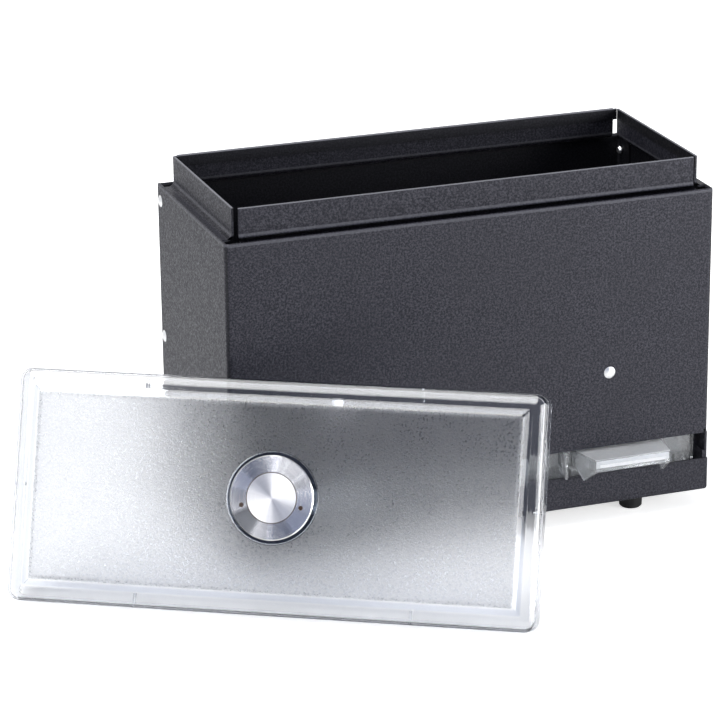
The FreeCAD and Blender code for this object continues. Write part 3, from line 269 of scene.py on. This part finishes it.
def make_wear():
    """Slow, wide variation, such as handling marks and dust."""
    shader, given, out = effect("slow_wear", [
        ("Vector", VECTOR, None), ("Size", FLOAT, 30 * MM), ("Amount", FLOAT, 0.1)],
        [("Mask", FLOAT), ("Factor", FLOAT)])
    scale = shader.math("DIVIDE", 1.0, given.outputs["Size"])
    cloud = shader.noise(given.outputs["Vector"], scale, 4.0, 0.55)
    mask = shader.step(cloud, 0.35, 0.65)
    shader.feed(out, "Mask", mask)
    shader.feed(out, "Factor", shader.math("MULTIPLY", mask, given.outputs["Amount"]))
    return shader.tree


GRAIN = make_grain()
WEAR = make_wear()


# Materials

def between(shader, reading, low, high, soft=0.5 * MM):
    """1 where a reading lies between two values, fading out past both."""
    return shader.math("MULTIPLY", shader.step(reading, low - soft, low),
                       shader.step(reading, high, high + soft, 1, 0))


def within(shader, axes, half_x, half_y):
    """1 inside an upright box round the middle of the dispenser."""
    across = shader.math("ABSOLUTE", axes.outputs["X"])
    along = shader.math("ABSOLUTE", axes.outputs["Y"])
    return shader.math("MULTIPLY", shader.step(across, half_x, half_x + 0.3 * MM, 1, 0),
                       shader.step(along, half_y, half_y + 0.3 * MM, 1, 0))


def coat_material():
    """Dark charcoal powder coat: fine grain, painted highlights on the folds, painted shade in
    the crease and painted shade inside.
    """
    made, shader, surface, place = material("powder_coat")
    grain = placed(shader, GRAIN, Vector=place, Size=0.4 * MM, Sharpness=0.4)
    wear = placed(shader, WEAR, Vector=place, Size=45 * MM, Amount=0.25)
    tone = shader.blend(grain.outputs["Peaks"], (0.004, 0.004, 0.007, 1),
                        (0.034, 0.034, 0.045, 1))
    tone = shader.blend(wear.outputs["Factor"], tone, (0.012, 0.012, 0.016, 1))
    axes = shader.add("ShaderNodeSeparateXYZ", Vector=place)
    height = axes.outputs["Z"]
    # Painted shade: the coat is darkened inside the walls and inside the rim's upper edge.
    upper = shader.math("MULTIPLY", within(shader, axes, INSIDE_X, INSIDE_Y),
                        shader.step(height, SHOULDER - 2 * MM, SHOULDER))
    lower = shader.math("MULTIPLY", within(shader, axes, WALLS_X, WALLS_Y),
                        between(shader, height, INSIDE_SHADE_FROM, SHOULDER - 1.5 * MM))
    painted_dark = shader.math("MAXIMUM", shader.math("MULTIPLY", lower, 0.8), shader.math(
        "MULTIPLY", upper, shader.step(height, *RIM_SHADE, 0, 0.85)))
    tone = shader.blend(painted_dark, tone, (0.0015, 0.0015, 0.002, 1))
    # Painted highlights on the folds: the wall's upper edge, the rim's foot and its upper edge.
    outside = shader.math("SUBTRACT", 1.0, painted_dark)
    fold_highlights = shader.math("MAXIMUM", between(shader, height, *WALL_FOLD_HIGHLIGHT),
                        between(shader, height, *FOOT_FOLD_HIGHLIGHT))
    fold_highlights = shader.math("MULTIPLY", shader.math("MULTIPLY", fold_highlights, outside), 0.35)
    fold_highlights = shader.math("MAXIMUM", fold_highlights, shader.math(
        "MULTIPLY", shader.step(height, *TOP_EDGE_HIGHLIGHT), 0.9))
    tone = shader.blend(fold_highlights, tone, (0.13, 0.132, 0.15, 1))
    # Painted shade: the shoulder is darkened in the crease round the foot of the rim, most of all
    # in front.
    crease_shade = shader.math("MULTIPLY", within(shader, axes, CREASE_SHADE_X, CREASE_SHADE_Y),
                         between(shader, height, *CREASE_SHADE_HEIGHT))
    for fade in (CREASE_SHADE_FADE, CREASE_SHADE_END):
        crease_shade = shader.math("MULTIPLY", crease_shade, shader.step(axes.outputs["Y"], *fade))
    tone = shader.blend(crease_shade, tone, (0.0005, 0.0005, 0.0008, 1))
    rough = shader.math("MULTIPLY_ADD", grain.outputs["Peaks"], -0.14, 0.56)
    normal = shader.bump(grain.outputs["Height"], 0.22 * MM)
    set_all(shader, surface, Base_Color=tone, Roughness=rough, Normal=normal, Metallic=crease_shade,
            Coat_Weight=shader.math("MULTIPLY", grain.outputs["Peaks"], 0.22))
    set_all(shader, surface, Specular_IOR_Level=0.3, Coat_Roughness=0.3,
            Specular_Tint=(0.9, 0.9, 1.0, 1))
    return made


def rubber_material():
    """Black rubber of the feet and stops, with a little dust."""
    made, shader, surface, place = material("black_rubber")
    grain = placed(shader, GRAIN, Vector=place, Size=0.5 * MM, Sharpness=0.2)
    dust = placed(shader, WEAR, Vector=place, Size=4 * MM, Amount=0.3)
    tone = shader.blend(dust.outputs["Factor"], (0.009, 0.009, 0.010, 1), (0.03, 0.03, 0.03, 1))
    rough = shader.math("MULTIPLY_ADD", dust.outputs["Mask"], 0.12, 0.55)
    set_all(shader, surface, Base_Color=tone, Roughness=rough,
            Normal=shader.bump(grain.outputs["Height"], 0.05 * MM))
    set_all(shader, surface, Specular_IOR_Level=0.3)
    return made


def nylon_material():
    """Off-white nylon of the bushes."""
    made, shader, surface, place = material("natural_nylon")
    cloud = placed(shader, WEAR, Vector=place, Size=3 * MM, Amount=0.5)
    tone = shader.blend(cloud.outputs["Factor"], (0.72, 0.71, 0.66, 1), (0.8, 0.79, 0.75, 1))
    rough = shader.math("MULTIPLY_ADD", cloud.outputs["Mask"], 0.1, 0.38)
    set_all(shader, surface, Base_Color=tone, Roughness=rough)
    set_all(shader, surface, Subsurface_Weight=0.2, Subsurface_Scale=1.5 * MM)
    return made


def metal_material(name, dark, light, low_rough, high_rough, size, depth):
    """Plain metal with fine marks in its tone and its gloss."""
    made, shader, surface, place = material(name)
    grain = placed(shader, GRAIN, Vector=place, Size=size, Sharpness=0.3)
    marks = placed(shader, WEAR, Vector=place, Size=6 * size, Amount=1.0)
    tone = shader.blend(marks.outputs["Mask"], dark, light)
    rough = shader.step(grain.outputs["Height"], 0.2, 0.6, low_rough, high_rough)
    set_all(shader, surface, Base_Color=tone, Roughness=rough,
            Normal=shader.bump(grain.outputs["Height"], depth))
    set_all(shader, surface, Metallic=1.0)
    return made


def lever_material():
    """Clear moulded plastic with a faint haze and flow lines."""
    made, shader, surface, place = material("clear_lever_plastic")
    grain = placed(shader, GRAIN, Vector=place, Size=2.2 * MM, Sharpness=0.2)
    haze = placed(shader, WEAR, Vector=place, Size=14 * MM, Amount=1.0)
    tone = shader.blend(haze.outputs["Mask"], (0.90, 0.92, 0.94, 1), (0.97, 0.98, 0.99, 1))
    rough = shader.math("MULTIPLY_ADD", haze.outputs["Mask"], 0.07, 0.03)
    set_all(shader, surface, Base_Color=tone, Roughness=rough,
            Normal=shader.bump(grain.outputs["Height"], 0.05 * MM))
    set_all(shader, surface, Transmission_Weight=0.88, IOR=1.5)
    return made


def matt_material(name, clearness):
    """Matt moulded plastic: the bar in a press pad's face, and the pad's top."""
    made, shader, surface, place = material(name)
    grain = placed(shader, GRAIN, Vector=place, Size=0.8 * MM, Sharpness=0.2)
    tone = shader.blend(grain.outputs["Peaks"], (0.90, 0.92, 0.95, 1), (0.98, 0.99, 1, 1))
    rough = shader.math("MULTIPLY_ADD", grain.outputs["Peaks"], 0.1, 0.4)
    set_all(shader, surface, Base_Color=tone, Roughness=rough,
            Normal=shader.bump(grain.outputs["Height"], 0.03 * MM))
    set_all(shader, surface, Transmission_Weight=clearness, IOR=1.5)
    return made


def lid_axes():
    """The lid's own axes: along it, up its slope, and out of its face."""
    turn, lean = math.radians(LID_TURN), math.radians(LID_LEAN)
    along = Vector((math.cos(turn), math.sin(turn), 0))
    out = Vector((math.sin(turn) * math.cos(lean), -math.cos(turn) * math.cos(lean),
                  math.sin(lean)))
    up = out.cross(along)
    return Matrix((along, up, out)).transposed()


def in_lid(shader, place):
    """Coordinates in the lid's own axes, from the middle of its medallion."""
    low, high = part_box("lid_medallion")
    node = shader.add("ShaderNodeMapping", {"vector_type": "TEXTURE"}, Vector=place)
    node.inputs["Location"].default_value = (low + high) / 2
    node.inputs["Rotation"].default_value = lid_axes().to_euler()
    return node.outputs["Vector"]


def lid_material():
    """Clear plastic that is polished on the border and finely grained on the flat panel, with
    painted shade on the inner slope, the bead and the groove round the medallion.
    """
    made, shader, surface, place = material("clear_lid_plastic")
    spot = in_lid(shader, place)
    axes = shader.add("ShaderNodeSeparateXYZ", Vector=spot)
    across = shader.math("ABSOLUTE", axes.outputs["X"])
    along = shader.math("ABSOLUTE", axes.outputs["Y"])
    edge = 0.5 * MM
    panel = shader.math(
        "MULTIPLY", shader.step(across, PANEL_HALF_LENGTH - edge, PANEL_HALF_LENGTH, 1, 0),
        shader.step(along, PANEL_HALF_DEPTH - edge, PANEL_HALF_DEPTH, 1, 0))
    radius = shader.add("ShaderNodeVectorMath", {"operation": "LENGTH"}, n0=shader.add(
        "ShaderNodeCombineXYZ", X=axes.outputs["X"], Y=axes.outputs["Y"]).outputs[0])
    seat = shader.step(radius.outputs["Value"], *GRAIN_STARTS)
    panel = shader.math("MULTIPLY", panel, seat)
    grain = placed(shader, GRAIN, Vector=spot, Size=0.48 * MM, Sharpness=0.6)
    rough = shader.math("MULTIPLY_ADD", grain.outputs["Peaks"], 0.3, 0.2)
    rough = shader.math("MULTIPLY_ADD", panel, rough, CLEAR_ROUGHNESS)
    # The grain rises and sinks about the panel's own level, so its border has no step.
    height = shader.math("SUBTRACT", GRAIN_LEVEL, grain.outputs["Height"])
    height = shader.math("MULTIPLY", height, panel)
    smudge = placed(shader, WEAR, Vector=spot, Size=25 * MM, Amount=0.04)
    rough = shader.math("ADD", rough, smudge.outputs["Factor"])
    # Painted shade: the inner slope and the bead are tinted darker and bluer, for the darker room
    # seen through them.
    inward = shader.math("MINIMUM", shader.math("SUBTRACT", LID_HALF_LENGTH, across),
                         shader.math("SUBTRACT", LID_HALF_DEPTH, along))
    slope_and_bead_shade = shader.math("MAXIMUM", between(shader, inward, *SLOPE_SHADE_BAND),
                        shader.step(inward, *BEAD_SHADE_BAND))
    clear = shader.blend(slope_and_bead_shade, (0.945, 0.953, 0.965, 1), (0.80, 0.825, 0.885, 1))
    frost = shader.blend(grain.outputs["Peaks"], (0.8, 0.815, 0.85, 1), (0.885, 0.893, 0.912, 1))
    tone = shader.blend(panel, clear, frost)
    # Painted shade: the groove round the medallion is tinted dark navy.
    groove = shader.step(radius.outputs["Value"], *GROOVE_SHADE_ENDS, 1, 0)
    tone = shader.blend(groove, tone, (0.36, 0.41, 0.5, 1))
    set_all(shader, surface, Base_Color=tone, Roughness=rough,
            Normal=shader.bump(height, 0.36 * MM))
    set_all(shader, surface, Transmission_Weight=1.0, IOR=1.49)
    return made


def medallion_material():
    """Circular-brushed metal with a printed circle and two printed dots, painted light reflection
    fans and a painted dark wedge of reflection.
    """
    made, shader, surface, place = material("brushed_medallion")
    spot = in_lid(shader, place)
    axes = shader.add("ShaderNodeSeparateXYZ", Vector=spot)
    flat = shader.add("ShaderNodeCombineXYZ", X=axes.outputs["X"], Y=axes.outputs["Y"])
    radius = shader.add("ShaderNodeVectorMath", {"operation": "LENGTH"},
                        n0=flat.outputs[0]).outputs["Value"]
    ring = shader.add("ShaderNodeCombineXYZ", X=radius).outputs[0]
    groove = shader.noise(ring, GROOVE_SCALE, 3.0, 0.7)
    band = shader.noise(ring, BAND_SCALE, 2.0, 0.5)
    tone = shader.blend(band, (0.46, 0.455, 0.45, 1), (0.72, 0.71, 0.70, 1))
    # Painted reflection: light fans by direction round the middle of the disc.
    heading = shader.add("ShaderNodeVectorMath", {"operation": "NORMALIZE"},
                         n0=flat.outputs[0]).outputs["Vector"]
    painted_fans = shader.step(shader.noise(heading, 1.6, 2.0, 0.5), 0.4, 0.6)
    tone = shader.blend(painted_fans, tone, (0.97, 0.96, 0.95, 1))
    middle = shader.step(radius, PRINT_RADIUS - 0.2 * MM, PRINT_RADIUS, 1, 0)
    tone = shader.blend(shader.math("MULTIPLY", middle, 0.55), tone, (0.93, 0.92, 0.92, 1))
    # Painted dark reflection: a dark wedge towards that way, faint inside the printed circle.
    toward = shader.add("ShaderNodeVectorMath", {"operation": "DOT_PRODUCT"}, n0=heading)
    toward.inputs[1].default_value = DARK_WEDGE_WAY
    painted_dark = shader.math("MULTIPLY", shader.step(toward.outputs["Value"], 0.9, 0.97),
                       shader.step(middle, 0, 1, 0.85, 0.1))
    tone = shader.blend(painted_dark, tone, (0.1, 0.105, 0.115, 1))
    circle = shader.math("ABSOLUTE", shader.math("SUBTRACT", radius, PRINT_RADIUS))
    ink = shader.step(circle, PRINT_WIDTH * 0.35, PRINT_WIDTH * 0.6, 1, 0)
    side = shader.add("ShaderNodeCombineXYZ", X=shader.math("ABSOLUTE", axes.outputs["X"]),
                      Y=axes.outputs["Y"])
    dot = shader.add("ShaderNodeVectorMath", {"operation": "DISTANCE"}, n0=side.outputs[0])
    dot.inputs[1].default_value = (*DOT_PLACE, 0)
    ink = shader.math("MAXIMUM", ink, shader.step(dot.outputs["Value"], DOT_RADIUS * 0.9,
                                                  DOT_RADIUS * 1.05, 1, 0))
    front = shader.step(axes.outputs["Z"], 0.3 * MM, 0.8 * MM)
    ink = shader.math("MULTIPLY", ink, front)
    tone = shader.blend(ink, tone, (0.045, 0.028, 0.02, 1))
    metallic = shader.math("SUBTRACT", 1.0, ink)
    rough = shader.math("MULTIPLY_ADD", groove, 0.14, 0.15)
    rough = shader.math("MULTIPLY_ADD", middle, 0.14, rough)
    normal = shader.bump(groove, 0.03 * MM, 0.8)
    spoke = shader.add("ShaderNodeVectorMath", {"operation": "CROSS_PRODUCT"}, n0=flat.outputs[0])
    spoke.inputs[1].default_value = (0, 0, 1)
    turned = shader.add("ShaderNodeVectorRotate", {"rotation_type": "EULER_XYZ"},
                        Vector=spoke.outputs[0])
    turned.inputs["Rotation"].default_value = lid_axes().to_euler()
    set_all(shader, surface, Base_Color=tone, Metallic=metallic, Roughness=rough, Normal=normal,
            Tangent=turned.outputs[0])
    set_all(shader, surface, Anisotropic=0.85)
    return made


def adhesive_material():
    """Pale foam tape under the medallion."""
    made, shader, surface, place = material("adhesive_disc")
    cloud = placed(shader, WEAR, Vector=place, Size=5 * MM, Amount=0.6)
    tone = shader.blend(cloud.outputs["Factor"], (0.78, 0.78, 0.74, 1), (0.88, 0.88, 0.85, 1))
    rough = shader.math("MULTIPLY_ADD", cloud.outputs["Mask"], 0.1, 0.6)
    set_all(shader, surface, Base_Color=tone, Roughness=rough)
    return made


def dress(node, made):
    """Give a CAD node one material in all its slots."""
    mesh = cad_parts[node].data
    mesh.materials.clear()
    mesh.materials.append(made)


FINISHES = {
    coat_material: ("body_wrap", "back_panel", "base_pan", "hopper_ramp", "throat_baffle"),
    rubber_material: ("front_left_foot", "front_right_foot", "back_left_foot",
                      "back_right_foot", "lever_stops"),
    nylon_material: ("left_bush", "right_bush"),
    lever_material: ("dispensing_lever",),
    lid_material: ("lid_shell",),
    medallion_material: ("lid_medallion",),
    adhesive_material: ("medallion_tape",),
}
for make, nodes in FINISHES.items():
    finish = make()
    for node in nodes:
        dress(node, finish)

METALS = (
    (("zinc_plate", (0.55, 0.56, 0.58, 1), (0.72, 0.72, 0.71, 1), 0.2, 0.4, 1.2 * MM, 0.02 * MM),
     ("pivot_rod", "foot_screws", "foot_nuts")),
    (("bright_aluminium", (0.80, 0.80, 0.80, 1), (0.92, 0.92, 0.92, 1), 0.3, 0.5, 0.8 * MM,
      0.02 * MM),
     ("left_side_rivets", "left_pan_rivet", "right_side_rivets", "right_pan_rivet",
      "front_rivets", "ramp_back_rivets", "ramp_floor_rivets")),
    (("spring_steel", (0.42, 0.42, 0.43, 1), (0.6, 0.6, 0.6, 1), 0.2, 0.35, 0.9 * MM,
      0.01 * MM), ("return_spring",)),
)
for values, nodes in METALS:
    finish = metal_material(*values)
    for node in nodes:
        dress(node, finish)

# Modelling helpers: everything is deselected first, then picked by its place


def start(made=None):
    """Deselect everything, and make one piece the selected and active one."""
    bpy.ops.object.select_all(action="DESELECT")
    if made is not None:
        made.select_set(True)
        bpy.context.view_layer.objects.active = made


def added(name, operator, **settings):
    """Add a primitive, name it and leave it in edit mode, selected all over."""
    start()
    operator(**settings)
    made = bpy.context.active_object
    made.name = name
    made.data.name = name
    bpy.ops.object.mode_set(mode="EDIT")
    return made


def pick(kind, test):
    """In edit mode, select only the vertices, edges or faces for which test says yes."""
    modes = {"verts": "VERT", "edges": "EDGE", "faces": "FACE"}
    bpy.ops.mesh.select_mode(type=modes[kind])
    bpy.ops.mesh.select_all(action="DESELECT")
    shape = bmesh.from_edit_mesh(bpy.context.edit_object.data)
    for part in getattr(shape, kind):
        if test(part):
            part.select_set(True)
    shape.select_flush_mode()
    bmesh.update_edit_mesh(bpy.context.edit_object.data)


def level(part, height, slack=0.01 * MM):
    """Every corner of an edge or a face lies at this height."""
    return all(abs(corner.co.z - height) < slack for corner in part.verts)


def end_edit():
    bpy.ops.object.mode_set(mode="OBJECT")


def settle(made, place):
    """Put a finished piece in its place and keep that place in its mesh."""
    start(made)
    made.matrix_world = place
    bpy.ops.object.transform_apply(location=True, rotation=True, scale=True)


def copied(made, place):
    """A copy of a piece with its own mesh, put in a place."""
    twin = made.copy()
    twin.data = made.data.copy()
    bpy.context.scene.collection.objects.link(twin)
    settle(twin, place)
    return twin


def polish(made, angle=32):
    """Shade a piece smooth, but for the edges sharper than an angle in degrees."""
    start(made)
    bpy.ops.object.shade_smooth_by_angle(angle=math.radians(angle))


def carve(made, tool):
    """Cut a tool's shape out of a piece and remove the tool."""
    start(made)
    cut = made.modifiers.new("cut", "BOOLEAN")
    cut.operation = "DIFFERENCE"
    cut.solver = "EXACT"
    cut.object = tool
    bpy.ops.object.modifier_apply(modifier=cut.name)
    bpy.data.objects.remove(tool)


# Clear lid: skirt, rounded bead, shelf, sloping border and raised panel


def lid_skin(name, profile):
    """One open skin of the lid, from the rim up to the flat panel, ring by ring."""
    made = added(name, bpy.ops.mesh.primitive_plane_add, size=2.0)
    bpy.ops.mesh.delete(type="VERT")
    below = None
    for inward, height in profile:
        inward, height = inward * MM, height * MM
        bpy.ops.mesh.primitive_plane_add(size=2.0, location=(0, 0, height))
        bpy.ops.transform.resize(value=(LID_HALF_LENGTH - inward, LID_HALF_DEPTH - inward, 1))
        bpy.ops.mesh.bevel(affect="VERTICES", offset=max(LID_CORNER - inward, PANEL_CORNER),
                           segments=CORNER_SEGMENTS)
        if height < profile[-1][1] * MM:
            bpy.ops.mesh.delete(type="ONLY_FACE")
        if below is not None:
            pick("edges", lambda edge: level(edge, height) or level(edge, below))
            bpy.ops.mesh.bridge_edge_loops()
        below = height
    end_edit()
    return made


def lid_rib(reach):
    """One locating rib with rounded edges, along X, about its own middle."""
    made = added("rib", bpy.ops.mesh.primitive_cube_add, size=1.0)
    bpy.ops.transform.resize(value=(reach, RIB_WIDTH, RIB_HIGH - RIB_LOW))
    pick("edges", lambda edge: True)
    bpy.ops.mesh.bevel(affect="EDGES", offset=RIB_ROUND, segments=2)
    end_edit()
    return made


def make_lid():
    """The two skins joined at the rim, with the medallion's seat and six ribs."""
    outer = lid_skin("lid", LID_OUTSIDE)
    inner = lid_skin("lid_inside", LID_INSIDE)
    start(inner)
    bpy.ops.object.mode_set(mode="EDIT")
    bpy.ops.mesh.select_all(action="SELECT")
    bpy.ops.mesh.flip_normals()
    end_edit()
    start(outer)
    inner.select_set(True)
    bpy.ops.object.join()
    bpy.ops.object.mode_set(mode="EDIT")
    pick("edges", lambda edge: level(edge, 0) and edge.is_boundary)
    bpy.ops.mesh.bridge_edge_loops()
    end_edit()
    # The cone is SEAT_RADIUS wide at the panel's face, a quarter of its height up.
    seat = added("seat_tool", bpy.ops.mesh.primitive_cone_add, radius1=SEAT_RADIUS - SEAT_FLARE,
                 radius2=SEAT_RADIUS + 3 * SEAT_FLARE, depth=4 * SEAT_DEPTH, vertices=96,
                 location=(0, 0, LID_TOP + SEAT_DEPTH))
    end_edit()
    carve(outer, seat)
    # Each rib starts in the middle of the skirt's wall.
    reach = RIB_REACH + LID_WALL / 2
    rib = lid_rib(reach)
    middle = (RIB_HIGH + RIB_LOW) / 2
    quarter_turn = Matrix.Rotation(math.radians(90), 4, "Z")
    ribs = []
    for side in (-1, 1):
        across = side * (LID_HALF_LENGTH - LID_WALL / 2 - reach / 2)
        ribs.append(copied(rib, Matrix.Translation((across, 0, middle))))
        for face in (-1, 1):
            along = face * (LID_HALF_DEPTH - LID_WALL / 2 - reach / 2)
            place = Matrix.Translation((side * RIB_PLACE, along, middle))
            ribs.append(copied(rib, place @ quarter_turn))
    bpy.data.objects.remove(rib)
    start(outer)
    for rib in ribs:
        rib.select_set(True)
    bpy.ops.object.join()
    return outer


lid = make_lid()
low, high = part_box("lid_medallion")
disc_middle = LID_TOP - SEAT_DEPTH + TAPE_THICK + MEDALLION_HALF
lid_frame = lid_axes().to_4x4()
settle(lid, Matrix.Translation((low + high) / 2) @ lid_frame
       @ Matrix.Translation((0, 0, -disc_middle)))
polish(lid)
lid.data.materials.clear()
lid.data.materials.append(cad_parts["lid_shell"].data.materials[0])
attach(lid, "lid")
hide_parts("lid_shell")

# Back hem: the sheet folded down inside the back rim, round on top and open below


def make_hem():
    """A thin strip, made about its own middle and then put in its place."""
    made = added("back_hem", bpy.ops.mesh.primitive_cube_add, size=1.0)
    bpy.ops.transform.resize(value=(2 * HEM_HALF_LENGTH, HEM_THICK, HEM_HEIGHT))
    pick("edges", lambda edge: level(edge, HEM_HEIGHT / 2)
         and abs(edge.verts[0].co.y - edge.verts[1].co.y) < HEM_THICK / 2)
    bpy.ops.mesh.bevel(affect="EDGES", offset=HEM_ROUND, segments=4)
    pick("faces", lambda face: level(face, -HEM_HEIGHT / 2))
    bpy.ops.mesh.inset(thickness=HEM_LIP, depth=0)
    bpy.ops.mesh.extrude_region_move(TRANSFORM_OT_translate={"value": (0, 0, HEM_GROOVE)})
    end_edit()
    settle(made, Matrix.Translation((0, HEM_BACK - HEM_THICK / 2, RIM_TOP - HEM_HEIGHT / 2)))
    polish(made)
    made.data.materials.append(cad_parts["back_panel"].data.materials[0])
    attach(made, "housing")


make_hem()

# Clear lever: the moulding with all its edges softened


def welded(name, node):
    """A copy of a CAD node's mesh as a new piece, welded and with its flat faces whole."""
    made = bpy.data.objects.new(name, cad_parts[node].data.copy())
    made.data.name = name
    bpy.context.scene.collection.objects.link(made)
    start(made)
    bpy.ops.object.mode_set(mode="EDIT")
    bpy.ops.mesh.select_all(action="SELECT")
    bpy.ops.mesh.remove_doubles(threshold=0.005 * MM)
    bpy.ops.mesh.dissolve_limited(angle_limit=math.radians(1))
    end_edit()
    return made


def soften(made, width, segments):
    """Round all the sharp edges of a piece."""
    start(made)
    rounding = made.modifiers.new("rounding", "BEVEL")
    rounding.width = width
    rounding.segments = segments
    rounding.limit_method = "ANGLE"
    rounding.angle_limit = math.radians(35)
    bpy.ops.object.modifier_apply(modifier=rounding.name)


lever = welded("lever", "dispensing_lever")
lever.data.materials.append(matt_material("pad_bar", 0.4))
lever.data.materials.append(matt_material("pad_top", 0.74))
pad_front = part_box("dispensing_lever")[0].y
start(lever)
bpy.ops.object.mode_set(mode="EDIT")
pick("faces", lambda face: face.normal.y < -0.99
     and all(abs(corner.co.y - pad_front) < 0.05 * MM for corner in face.verts))
bpy.ops.mesh.inset(thickness=PAD_FRAME, depth=0)
bpy.ops.mesh.extrude_region_move(TRANSFORM_OT_translate={"value": (0, PAD_SINK, 0)})
bpy.context.object.active_material_index = 1
bpy.ops.object.material_slot_assign()
pick("faces", lambda face: face.normal.z > 0.5
     and all(corner.co.y < pad_front + PAD_TOP for corner in face.verts))
bpy.context.object.active_material_index = 2
bpy.ops.object.material_slot_assign()
end_edit()
soften(lever, LEVER_ROUND, 2)
polish(lever, 40)
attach(lever, "lever")
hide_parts("dispensing_lever")

# Camera

camera = bpy.data.objects.new("photo_camera", bpy.data.cameras.new("photo_camera"))
bpy.context.scene.collection.objects.link(camera)
camera.data.lens = CAMERA_LENS
camera.data.sensor_width = SENSOR
camera.data.clip_end = 100.0
camera.matrix_world = (Matrix.Translation(CAMERA_PLACE)
                       @ Matrix.Rotation(math.radians(-CAMERA_YAW), 4, "Z")
                       @ Matrix.Rotation(math.radians(90 - CAMERA_PITCH), 4, "X")
                       @ Matrix.Rotation(math.radians(CAMERA_ROLL), 4, "Z"))
bpy.context.scene.camera = camera

# Floor, room and lamps


def shown_directly(shader):
    """1 for what the camera sees itself, in a reflection or through clear plastic."""
    path = shader.add("ShaderNodeLightPath").outputs
    direct = shader.math("MAXIMUM", path["Is Camera Ray"], path["Is Glossy Ray"])
    return shader.math("MAXIMUM", direct, path["Is Transmission Ray"])


bpy.ops.object.select_all(action="DESELECT")
bpy.ops.mesh.primitive_plane_add(size=14.0, location=(0, 0, 0))
floor = bpy.context.active_object
floor.name = "floor"
paper, shader, surface, place = material("floor_paper")
cloud = shader.noise(place, 3.0, 2.0, 0.5)
tone = shader.blend(cloud, (0.86, 0.86, 0.86, 1), (0.88, 0.88, 0.88, 1))
seen = shader.add("ShaderNodeLightPath").outputs["Is Camera Ray"]
floor_glow = shader.math("MULTIPLY_ADD", seen, 0.5, shader.math(
    "MULTIPLY", shown_directly(shader), 0.14))
set_all(shader, surface, Base_Color=tone, Roughness=0.9)
set_all(shader, surface, Specular_IOR_Level=0.0, Emission_Color=(1, 1, 1, 1),
        Emission_Strength=floor_glow)
floor.data.materials.append(paper)

world = bpy.data.worlds.new("studio")
bpy.context.scene.world = world
world.use_nodes = True
shader = Shader(world.node_tree)
sky = world.node_tree.nodes["Background"]
# The room behind the camera is darker than the white backdrop, less so through clear plastic.
toward = shader.add("ShaderNodeSeparateXYZ",
                    Vector=shader.add("ShaderNodeTexCoord").outputs["Generated"])
backdrop = shader.step(toward.outputs["Y"], -0.4, 0.8)
through = shader.add("ShaderNodeLightPath").outputs["Is Transmission Ray"]
room = shader.blend(through, (0.17, 0.2, 0.31, 1), (0.5, 0.55, 0.66, 1))
tint = shader.blend(backdrop, room, (1, 1, 1, 1))
tint = shader.blend(shown_directly(shader), (0.33, 0.34, 0.36, 1), tint)
set_all(shader, sky, Color=tint, Strength=1.0)


def softbox(name, place, aim, width, height, power):
    """A rectangular lamp that faces its aim."""
    lamp = bpy.data.lights.new(name, "AREA")
    lamp.shape = "RECTANGLE"
    lamp.size = width
    lamp.size_y = height
    lamp.energy = power
    lit = bpy.data.objects.new(name, lamp)
    lit.location = place
    lit.rotation_euler = (Vector(place) - Vector(aim)).to_track_quat("Z", "Y").to_euler()
    bpy.context.scene.collection.objects.link(lit)


for values in SOFTBOXES:
    softbox(*values)

bpy.context.scene.view_settings.view_transform = "Standard"
